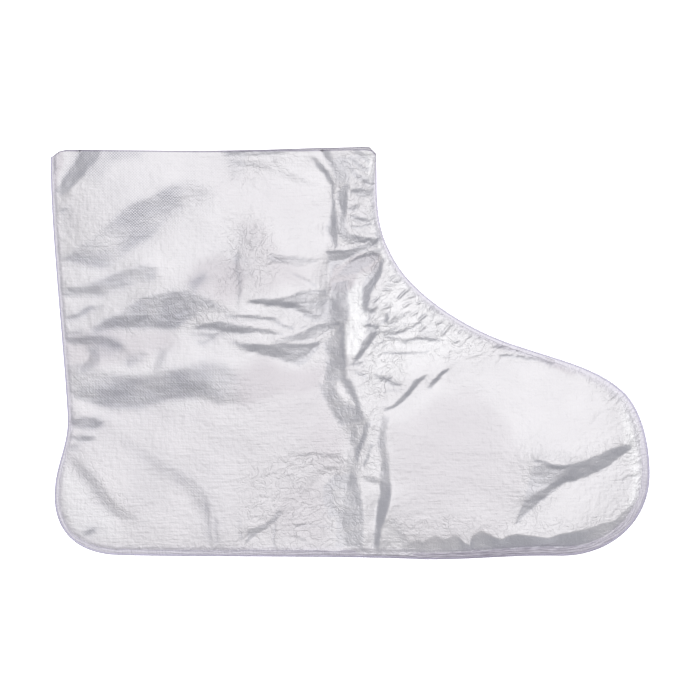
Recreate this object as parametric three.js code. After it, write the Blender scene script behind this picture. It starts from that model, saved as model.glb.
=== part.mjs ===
// A disposable boot-style shoe cover lying on its side, as it comes out of its packet.
// Two side panels of embossed film have one outline and are sewn together all round it
// except at the mouth, where the foot goes in. Air and old creases hold the upper panel
// a little way off the lower one.
// Millimetres, +Z up, toe towards +X, mouth towards +Y. The origin is on the surface
// that the cover lies on, under the middle of its box.
import * as THREE from "three";

// Driving dimensions.
const WALL = 1.2; // each panel, drawn thicker than its film
const GAP = 0.3; // clearance between pieces that touch
const PILLOW = 9; // usual height of the space between the panels
const SWELL_REACH = 30; // distance from the sewn edge at which the space is full
const SEAM_HEIGHT = 2 * WALL + GAP; // the rolled edge is as tall as the two panels in it

// How finely each surface is divided.
const NEAR_ROWS = 56; // from the mouth to the toe
const NEAR_COLUMNS = 24; // from the back and sole to the front and instep
const FAR_COLUMNS = 8;
const SEAM_SIDES = 8;

// Where the run of the sewn edge passes from the sole to the nose of the toe, and from
// the nose to the instep, as fractions of its length.
const NOSE_START = 0.625;
const NOSE_END = 0.655;

// The outer edge of the seam, from the back of the mouth down the leg, round the heel,
// along the sole, round the toe and up the instep to the front of the mouth. Each row
// is one Bezier curve: its two handles, its end, and the width of the rolled band there.
const EDGE_START = { x: -198.7, y: 130.5, band: 2 };
const EDGE_CURVES = [
  { name: "back of leg", leave: [-200.2, 95], arrive: [-189.3, -5], end: [-187.6, -42], band: 2 },
  { name: "back of heel", leave: [-186.6, -62], arrive: [-196.3, -74], end: [-196.3, -95], band: 3 },
  { name: "heel corner", leave: [-196.3, -120], arrive: [-180, -133.4], end: [-155, -134.4], band: 4.6 },
  { name: "rear of sole", leave: [-110, -136], arrive: [0, -134.8], end: [50, -137.4], band: 4.6 },
  { name: "front of sole", leave: [85, -137.6], arrive: [105, -134.4], end: [140, -135], band: 4.8 },
  { name: "under the toe", leave: [174, -135.4], arrive: [200, -112], end: [199.8, -80], band: 5 },
  { name: "top of toe", leave: [199.6, -57], arrive: [193.2, -35], end: [181, -24.6], band: 4 },
  { name: "lower instep", leave: [165, -10.4], arrive: [142, -5], end: [115, 3.8], band: 3 },
  { name: "upper instep", leave: [75, 16], arrive: [43, 40], end: [31, 60], band: 2.4 },
  { name: "bend of ankle", leave: [21, 77], arrive: [18.5, 88], end: [18.2, 112], band: 2 },
  { name: "front of leg", leave: [18.2, 118], arrive: [18.2, 124], end: [17.8, 131], band: 2 },
];

// Height of the cut edge at the mouth, for each panel. The corners are cut away, and
// the far panel shows a little above the near one.
const MOUTH_EDGE = [
  { x: -197, near: 130.8, far: 130.8 },
  { x: -190, near: 135.0, far: 135.4 },
  { x: -100, near: 134.2, far: 135.2 },
  { x: -30, near: 135.4, far: 137.0 },
  { x: 11, near: 136.8, far: 138.0 },
  { x: 16, near: 132.6, far: 133.2 },
];

// Broad swellings of the near panel: the space is taller or lower around each centre.
const SWELLINGS = [
  { name: "heel", centre: [-140, -85], reach: 45, height: 1.5 },
  { name: "ankle", centre: [0, -10], reach: 55, height: 1.5 },
  { name: "ball of foot", centre: [100, -70], reach: 50, height: 1.5 },
  { name: "middle of leg", centre: [-90, 60], reach: 60, height: -1 },
  { name: "mouth", centre: [-90, 135], reach: 40, height: -1.5 },
];

// Main creases and dents of the near panel, each along a straight line: a positive
// height is a ridge and a negative one a valley.
const FOLDS = [
  { name: "mouth corner pleat", from: [-163, 130], to: [-193, 106], width: 7, height: 1.6 },
  { name: "upper leg band", from: [-190, 64], to: [-152, 92], width: 11, height: -1.8 },
  { name: "upper leg band, end", from: [-152, 92], to: [-92, 112], width: 10, height: -1.4 },
  { name: "middle leg band", from: [-180, 36], to: [-130, 52], width: 8, height: 1.4 },
  { name: "lower leg band", from: [-165, 16], to: [-85, 36], width: 9, height: -1.8 },
  { name: "heel bend", from: [-182, -22], to: [-74, -20], width: 9, height: -2.2 },
  { name: "ridge over heel bend", from: [-170, -6], to: [-90, 0], width: 8, height: 1.6 },
  { name: "heel valley", from: [-186, -68], to: [-140, -110], width: 8, height: -1.8 },
  { name: "heel diagonal", from: [-155, -50], to: [-98, -108], width: 11, height: -1.4 },
  { name: "packet crease of leg", from: [-17, 128], to: [-11, 76], width: 6, height: 1.6 },
  { name: "ankle valley", from: [-66, 32], to: [-10, 32], width: 9, height: -2.2 },
  { name: "ankle ridge", from: [-42, 12], to: [-8, 22], width: 7, height: 2.2 },
  { name: "ankle lens", from: [-78, 4], to: [-24, -1], width: 7, height: -1.8 },
  { name: "front bow", from: [-12, 58], to: [20, 58], width: 8, height: 2.2 },
  { name: "upright pleat", from: [8, 44], to: [9, -40], width: 7, height: 2 },
  { name: "upright pleat, foot", from: [9, -44], to: [10, -124], width: 7, height: 1.6 },
  { name: "ankle knot", from: [20, 22], to: [36, 4], width: 8, height: 2 },
  { name: "front slash", from: [26, -36], to: [50, -16], width: 6, height: -1.6 },
  { name: "instep wrinkle, high", from: [46, 40], to: [30, 22], width: 6, height: 1.8 },
  { name: "instep wrinkle, middle", from: [66, 24], to: [46, 6], width: 6, height: 1.6 },
  { name: "instep wrinkle, low", from: [92, 10], to: [72, -10], width: 6, height: 1.4 },
  { name: "toe dent", from: [124, -72], to: [190, -64], width: 9, height: -1.6 },
  { name: "toe dent, rear arm", from: [124, -72], to: [110, -112], width: 9, height: -1.4 },
  { name: "sole shelf", from: [45, -112], to: [170, -108], width: 8, height: 1.8 },
];

// A value between the rows of a table, by a column that grows from row to row.
function between(table, column, at, wanted) {
  const last = table.length - 1;
  if (at <= table[0][column]) return table[0][wanted];
  if (at >= table[last][column]) return table[last][wanted];
  const next = table.findIndex((row) => row[column] > at);
  const low = table[next - 1];
  const high = table[next];
  const part = (at - low[column]) / (high[column] - low[column]);
  return THREE.MathUtils.lerp(low[wanted], high[wanted], part);
}

// The outer edge as one path, and the width of its band along it.
const edge = new THREE.CurvePath();
let corner = new THREE.Vector2(EDGE_START.x, EDGE_START.y);
for (const curve of EDGE_CURVES) {
  const leave = new THREE.Vector2(...curve.leave);
  const arrive = new THREE.Vector2(...curve.arrive);
  const end = new THREE.Vector2(...curve.end);
  edge.add(new THREE.CubicBezierCurve(corner, leave, arrive, end));
  corner = end;
}
const edgeLength = edge.getLength();
const bandTable = [{ u: 0, band: EDGE_START.band }];
edge.getCurveLengths().forEach((length, index) => {
  bandTable.push({ u: length / edgeLength, band: EDGE_CURVES[index].band });
});

// A point at a fraction u of the edge, moved towards the inside of the cover.
function insideEdge(u, inset) {
  const point = edge.getPointAt(u);
  const tangent = edge.getTangentAt(u);
  return new THREE.Vector2(point.x - tangent.y * inset, point.y + tangent.x * inset);
}

// The rim of a panel at a fraction u of the edge: just inside the rolled band.
function panelRim(u) {
  return insideEdge(u, between(bandTable, "u", u, "band") + GAP);
}

// Rows run from the mouth (0) to the nose of the toe (1). The rims of the panels and
// the rings of the seam stand at the same fractions of the edge.
const backOf = (row) => row * NOSE_START;
const frontOf = (row) => 1 - row * (1 - NOSE_END);

// Where a panel's point lies in plan: across runs from the back and sole (0) to the
// front and instep (1).
function panelPlan(across, row, mouthColumn) {
  if (row === 1) return panelRim(THREE.MathUtils.lerp(NOSE_START, NOSE_END, across));
  const plan = panelRim(backOf(row)).lerp(panelRim(frontOf(row)), across);
  if (row === 0) plan.y = between(MOUTH_EDGE, "x", plan.x, mouthColumn);
  return plan;
}

// Distance from a point in plan to the rim of the panels, where they are sewn.
const RIM_MARKS = 300;
const rim = Array.from({ length: RIM_MARKS + 1 }, (_, mark) => panelRim(mark / RIM_MARKS));
function distanceToRim(plan) {
  return Math.min(...rim.map((mark) => mark.distanceTo(plan)));
}

// Distance from a point in plan to the straight line between two others.
function distanceToLine(plan, from, to) {
  const start = new THREE.Vector2(...from);
  const along = new THREE.Vector2(...to).sub(start);
  const away = plan.clone().sub(start);
  const part = THREE.MathUtils.clamp(away.dot(along) / along.lengthSq(), 0, 1);
  return away.distanceTo(along.multiplyScalar(part));
}

const bell = (distance, width) => Math.exp(-((distance / width) ** 2));

// Height of the space between the panels at a point in plan.
function spaceHeight(plan) {
  const nearness = Math.max(0, 1 - distanceToRim(plan) / SWELL_REACH);
  const swell = 1 - nearness ** 2;
  let height = PILLOW;
  for (const { centre, reach, height: rise } of SWELLINGS) {
    height += rise * bell(plan.distanceTo(new THREE.Vector2(...centre)), reach);
  }
  for (const { from, to, width, height: rise } of FOLDS) {
    height += rise * bell(distanceToLine(plan, from, to), width);
  }
  return GAP + swell * height;
}

// Columns are closer together near the two edges, where the panel curves most.
function eased(across) {
  const rounded = 0.5 - 0.5 * Math.cos(Math.PI * across);
  return THREE.MathUtils.lerp(across, rounded, 0.6);
}

// One panel: a thin box, divided into rows and columns and bent to shape.
function panel(columns, mouthColumn, underside) {
  const geometry = new THREE.BoxGeometry(1, 1, 1, columns, NEAR_ROWS, 1);
  const position = geometry.getAttribute("position");
  for (let i = 0; i < position.count; i++) {
    const across = eased(position.getX(i) + 0.5);
    const row = Math.round((0.5 - position.getY(i)) * NEAR_ROWS) / NEAR_ROWS;
    const plan = panelPlan(across, row, mouthColumn);
    const top = position.getZ(i) > 0 ? WALL : 0;
    position.setXYZ(i, plan.x, plan.y, underside(plan) + top);
  }
  geometry.computeVertexNormals();
  return geometry;
}

// The fractions of the edge where the seam has its rings.
function seamStations() {
  const stations = [];
  for (let row = 0; row < NEAR_ROWS; row++) stations.push(backOf(row / NEAR_ROWS));
  for (let column = 0; column < FAR_COLUMNS; column++) {
    stations.push(THREE.MathUtils.lerp(NOSE_START, NOSE_END, eased(column / FAR_COLUMNS)));
  }
  for (let row = NEAR_ROWS; row >= 0; row--) stations.push(frontOf(row / NEAR_ROWS));
  return stations;
}

// The rolled and sewn edge: a rod with a soft rectangular section, bent along the edge.
function seam() {
  const stations = seamStations();
  const rings = stations.length - 1;
  const geometry = new THREE.CylinderGeometry(1, 1, 1, SEAM_SIDES, rings);
  geometry.rotateY(Math.PI / SEAM_SIDES);
  const position = geometry.getAttribute("position");
  const soften = (value) => Math.sign(value) * Math.sqrt(Math.abs(value));
  const cornerReach = soften(Math.cos(Math.PI / SEAM_SIDES));
  for (let i = 0; i < position.count; i++) {
    const u = stations[Math.round((0.5 - position.getY(i)) * rings)];
    const band = between(bandTable, "u", u, "band");
    const inward = soften(position.getX(i)) / cornerReach;
    const up = soften(position.getZ(i)) / cornerReach;
    const plan = insideEdge(u, (band / 2) * (1 + inward));
    position.setXYZ(i, plan.x, plan.y, (SEAM_HEIGHT / 2) * (1 + up));
  }
  geometry.computeVertexNormals();
  return geometry;
}

function addPiece(group, name, geometry, color, roughness) {
  const material = new THREE.MeshStandardMaterial({ color, roughness, metalness: 0 });
  const mesh = new THREE.Mesh(geometry, material);
  mesh.name = name;
  group.add(mesh);
}

const cover = new THREE.Group();
const nearHeight = (plan) => WALL + spaceHeight(plan);
addPiece(cover, "near_panel", panel(NEAR_COLUMNS, "near", nearHeight), 0xe3e1e4, 0.42);
addPiece(cover, "far_panel", panel(FAR_COLUMNS, "far", () => 0), 0xdddbe0, 0.42);
addPiece(cover, "edge_seam", seam(), 0xd6cfe2, 0.5);

export default cover;
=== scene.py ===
# %% [markdown]
# # A disposable shoe cover, lying flat
#
# The real thing is two pieces of thin white film, cut to the same boot outline and sewn
# together all round except at the mouth. The film is embossed with tiny dots, it has a
# silky gloss, and it is full of creases from the packet. This notebook dresses the
# measured model, which holds the sizes, in that film.

# %% Tools and the measured model
import math
import bmesh
import bpy
import numpy as np
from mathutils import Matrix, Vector, kdtree, noise


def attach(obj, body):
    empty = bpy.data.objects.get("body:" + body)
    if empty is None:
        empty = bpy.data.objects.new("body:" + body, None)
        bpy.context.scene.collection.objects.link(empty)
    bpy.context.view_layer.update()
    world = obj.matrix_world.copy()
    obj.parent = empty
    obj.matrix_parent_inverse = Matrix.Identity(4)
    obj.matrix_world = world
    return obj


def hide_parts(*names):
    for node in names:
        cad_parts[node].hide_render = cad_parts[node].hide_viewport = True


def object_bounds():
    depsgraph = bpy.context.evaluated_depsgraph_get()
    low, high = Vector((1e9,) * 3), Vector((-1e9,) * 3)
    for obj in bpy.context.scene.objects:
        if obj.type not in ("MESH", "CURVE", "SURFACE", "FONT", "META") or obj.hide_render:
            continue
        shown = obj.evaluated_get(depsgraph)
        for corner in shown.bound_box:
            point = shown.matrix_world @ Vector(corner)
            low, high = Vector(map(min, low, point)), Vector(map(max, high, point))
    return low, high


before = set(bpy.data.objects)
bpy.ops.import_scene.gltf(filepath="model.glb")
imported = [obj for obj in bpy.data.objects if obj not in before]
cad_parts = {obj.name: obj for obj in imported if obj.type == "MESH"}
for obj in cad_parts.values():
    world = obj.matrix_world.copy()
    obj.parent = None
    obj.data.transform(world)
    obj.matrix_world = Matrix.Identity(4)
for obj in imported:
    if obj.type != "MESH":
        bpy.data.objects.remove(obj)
cad_low, cad_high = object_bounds()
MM = 0.001
cad_size = [round((high - low) / MM, 1) for low, high in zip(cad_low, cad_high)]
print("measured model, mm:", cad_size)

# %% [markdown]
# ## The outline
#
# Both panels and the seam follow one outline, so it is worked out once. Each row below is
# one Bezier curve: two handles and an end. The band is how wide the rolled seam is there.
# Sampling the curves finely and measuring along them gives a ruler that later steps use:
# a fraction of the edge's length turns into a point and a direction.

# %% The sewn edge as a curve
EDGE_START = (-198.7, 130.5)
EDGE_CURVES = [
    # name, leaving handle, arriving handle, end, band
    ("back of leg", (-200.2, 95), (-189.3, -5), (-187.6, -42), 2.4),
    ("back of heel", (-186.6, -62), (-196.3, -74), (-196.3, -95), 3.4),
    ("heel corner", (-196.3, -120), (-180, -133.4), (-155, -134.4), 4.4),
    ("rear of sole", (-110, -136), (0, -134.8), (50, -137.4), 5.0),
    ("front of sole", (85, -137.6), (105, -134.4), (140, -135), 6.4),
    ("under the toe", (174, -135.4), (200, -112), (199.8, -80), 6.0),
    ("top of toe", (199.6, -57), (193.2, -35), (181, -24.6), 5.2),
    ("lower instep", (165, -10.4), (142, -5), (115, 3.8), 3.4),
    ("upper instep", (75, 16), (43, 40), (31, 60), 2.8),
    ("bend of ankle", (21, 77), (18.5, 88), (18.2, 112), 2.4),
    ("front of leg", (18.2, 118), (18.2, 124), (17.8, 131), 0.26),
]
START_BAND = 2.2
SAMPLES = 200


def bezier(start, leave, arrive, end):
    t = np.linspace(0, 1, SAMPLES + 1)[:, None]
    points = [np.array(p, float) for p in (start, leave, arrive, end)]
    weights = ((1 - t) ** 3, 3 * (1 - t) ** 2 * t, 3 * (1 - t) * t**2, t**3)
    return sum(w * p for w, p in zip(weights, points))


run, bands, here, band = [np.array([EDGE_START])], [[START_BAND]], EDGE_START, START_BAND
for name, leave, arrive, end, next_band in EDGE_CURVES:
    run.append(bezier(here, leave, arrive, end)[1:])
    bands.append(np.linspace(band, next_band, SAMPLES + 1)[1:])
    here, band = end, next_band
run, bands = np.vstack(run), np.concatenate(bands)
steps = np.hypot(*np.diff(run, axis=0).T)
run_length = np.concatenate([[0], np.cumsum(steps)])
EDGE_LENGTH = run_length[-1]
run_u = run_length / EDGE_LENGTH
run_turn = np.gradient(run, run_length, axis=0)
run_turn /= np.hypot(*run_turn.T)[:, None]


def edge_band(u):
    return np.interp(u, run_u, bands)


def inside_edge(u, inset):
    """Points of the edge at fractions u, moved inwards by inset millimetres."""
    x, y = (np.interp(u, run_u, run[:, k]) for k in (0, 1))
    dx, dy = (np.interp(u, run_u, run_turn[:, k]) for k in (0, 1))
    return x - dy * inset, y + dx * inset


print("edge, mm:", round(EDGE_LENGTH, 1), "box:", run.min(0).round(1), run.max(0).round(1))

# %% [markdown]
# ## From a square grid to a boot
#
# A boot panel has no square corners to build from, but a square grid bends onto it well:
# its rows run from the mouth to the toe, and its columns from the back and sole to the
# front and instep. Every place on the panel then has two addresses, its row and column
# and its x and y.

# %% Rows, columns and the mouth
NOSE_START, NOSE_END = 0.625, 0.655
MOUTH_EDGE = np.array([
    # x, near panel's cut edge, far panel's cut edge
    (-198.0, 130.6, 130.6),
    (-195.0, 132.4, 132.6),
    (-192.5, 134.4, 134.8),
    (-188.0, 135.0, 135.3),
    (-100.0, 134.2, 134.5),
    (-60.0, 134.6, 135.2),
    (-30.0, 135.0, 136.2),
    (0.0, 135.4, 136.9),
    (10.0, 135.5, 137.2),
    (13.5, 135.2, 137.0),
    (15.2, 134.4, 135.4),
    (17.5, 131.6, 132.6),
])


def lattice(rows, columns):
    """Row and column addresses, columns closer together towards both edges."""
    row, column = np.meshgrid(
        np.linspace(0, 1, rows + 1), np.linspace(0, 1, columns + 1), indexing="ij")
    eased = 0.5 - 0.5 * np.cos(np.pi * column)
    return row, 0.72 * column + 0.28 * eased


def panel_plan(row, across, mouth_column, tuck=0.45):
    """Where the points of a panel lie in plan, its rim tucked under the seam."""
    def rim(u):
        return np.array(inside_edge(u, tuck * edge_band(u)))
    back, front = rim(row * NOSE_START), rim(1 - row * (1 - NOSE_END))
    x, y = back + (front - back) * across
    nose_x, nose_y = rim(NOSE_START + (NOSE_END - NOSE_START) * across)
    nose = np.clip((row - 0.97) / 0.03, 0, 1) ** 2
    x, y = x + (nose_x - x) * nose, y + (nose_y - y) * nose
    cut = np.interp(x, MOUTH_EDGE[:, 0], MOUTH_EDGE[:, mouth_column])
    mouth = np.clip(1 - row / 0.05, 0, 1)
    return x, y + (cut - y) * mouth**1.5 * (row < 0.05)


edge_tree = kdtree.KDTree(len(run))
for index, (px, py) in enumerate(run):
    edge_tree.insert((px, py, 0), index)
edge_tree.balance()


def seam_address(x, y):
    """How far along the sewn edge each point is, and how far in from it, in mm."""
    found = [edge_tree.find((a, b, 0)) for a, b in zip(x.ravel(), y.ravel())]
    along = run_length[[index for _, index, _ in found]]
    away = np.array([distance for _, _, distance in found])
    return along.reshape(x.shape), away.reshape(x.shape)


# %% [markdown]
# ## Folds as painted slopes
#
# Creased film is made of almost flat facets that meet at crisp lines, and each facet
# looks dark or bright by how steeply it leans. So the folds are not drawn as heights.
# Each facet is drawn by two lines, a high one and a low one, and the steady slope between
# them. All the slopes are painted onto one fine grid. Then the surface whose slopes agree
# best with the painting is worked out: flat where nothing is painted, leaning where a
# facet is, and held down along the sewn edge. A cloth simulation would make creases too,
# but not these ones in these places.

# %% The painting grid
CELL = 0.8
GRID_X = np.arange(-210, 211, CELL)
GRID_Y = np.arange(-148, 149, CELL)
paint_x, paint_y = np.meshgrid(GRID_X, GRID_Y, indexing="ij")
print("painting grid, cells:", paint_x.shape, "of", CELL, "mm")


# %% One facet as a slope
STATIONS = 24
FACET_MARGIN = 2
LEAST_WIDTH = 0.2
STEEPER, STEEPER_PER_MM = 1.05, 0.025


def resample(points, count):
    """A polyline as count points at even distances."""
    points = np.array(points, float)
    lengths = np.concatenate([[0], np.cumsum(np.hypot(*np.diff(points, axis=0).T))])
    at = np.linspace(0, lengths[-1], count)
    return np.stack([np.interp(at, lengths, points[:, k]) for k in (0, 1)], axis=-1)


def inside_polygon(x, y, corners):
    """Which points lie inside a closed outline."""
    inside = np.zeros(x.shape, bool)
    for (x0, y0), (x1, y1) in zip(corners, np.roll(corners, -1, axis=0)):
        if y0 != y1:
            inside ^= ((y0 > y) != (y1 > y)) & (x < x0 + (y - y0) * (x1 - x0) / (y1 - y0))
    return inside


def paint_facet(layer, x, y, high, low, slope):
    """Adds one facet to a layer: the fall in mm per mm towards its low line, and its shade.

    A wide facet is drawn a little steeper. A slope below 0 rises and gets no shade.
    """
    top, bottom = resample(high, STATIONS), resample(low, STATIONS)
    corners = np.vstack([top, bottom[::-1]])
    low_x, low_y = corners.min(0) - FACET_MARGIN
    high_x, high_y = corners.max(0) + FACET_MARGIN
    i = slice(*np.searchsorted(GRID_X, (low_x, high_x)))
    j = slice(*np.searchsorted(GRID_Y, (low_y, high_y)))
    px, py = x[i, j], y[i, j]
    inside = inside_polygon(px, py, corners)
    fall = bottom - top
    width = np.maximum(np.hypot(*fall.T), LEAST_WIDTH)
    fall /= width[:, None]
    slope *= STEEPER + STEEPER_PER_MM * width.mean()
    middle = (top + bottom) / 2
    closest = np.argmin((px[..., None] - middle[:, 0]) ** 2
                        + (py[..., None] - middle[:, 1]) ** 2, axis=-1)
    for axis in (0, 1):
        layer[axis][i, j] -= slope * inside * fall[closest, axis]
    layer[2][i, j] += max(slope, 0) * inside


# %% Blurring a grid
def soften(field, blur):
    """Gaussian blur of a grid, in mm."""
    kx = np.fft.fftfreq(field.shape[0], CELL)[:, None]
    ky = np.fft.rfftfreq(field.shape[1], CELL)[None, :]
    keep = np.exp(-2 * (np.pi * blur) ** 2 * (kx**2 + ky**2))
    return np.fft.irfft2(np.fft.rfft2(field) * keep, field.shape)


# %% The surface that has those slopes
def surface_from_slopes(slope_x, slope_y, hold, rounds=70):
    """The height grid whose slopes fit best, held towards zero by hold, 1/mm squared."""
    def slopes(h):
        return (np.roll(h, -1, 0) - h) / CELL, (np.roll(h, -1, 1) - h) / CELL

    def spread(gx, gy):
        return (np.roll(gx, 1, 0) - gx + np.roll(gy, 1, 1) - gy) / CELL

    kx = np.fft.fftfreq(hold.shape[0])[:, None]
    ky = np.fft.rfftfreq(hold.shape[1])[None, :]
    ease = (4 - 2 * np.cos(2 * np.pi * kx) - 2 * np.cos(2 * np.pi * ky)) / CELL**2 + 0.002

    def eased(r):
        return np.fft.irfft2(np.fft.rfft2(r) / ease, r.shape)

    height = np.zeros_like(hold)
    rest = spread(slope_x, slope_y)
    step = eased(rest)
    toward = step
    energy = (rest * step).sum()
    for _ in range(rounds):
        pull = spread(*slopes(toward)) + hold * toward
        move = energy / (toward * pull).sum()
        height += move * toward
        rest = rest - move * pull
        step = eased(rest)
        energy, before = (rest * step).sum(), energy
        toward = step + energy / before * toward
    return height


# %% Reading a grid anywhere
def read_grid(field, x, y):
    """Smooth reading of a grid at any points: a cubic curve through four cells a way."""
    gx, gy = (x - GRID_X[0]) / CELL, (y - GRID_Y[0]) / CELL
    ix, iy = np.floor(gx).astype(int), np.floor(gy).astype(int)
    fx, fy = gx - ix, gy - iy

    def weights(t):
        return (-0.5 * t + t**2 - 0.5 * t**3, 1 - 2.5 * t**2 + 1.5 * t**3,
                0.5 * t + 2 * t**2 - 1.5 * t**3, -0.5 * t**2 + 0.5 * t**3)
    return sum(wx * wy * field[ix + a - 1, iy + b - 1]
               for a, wx in enumerate(weights(fx)) for b, wy in enumerate(weights(fy)))
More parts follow.
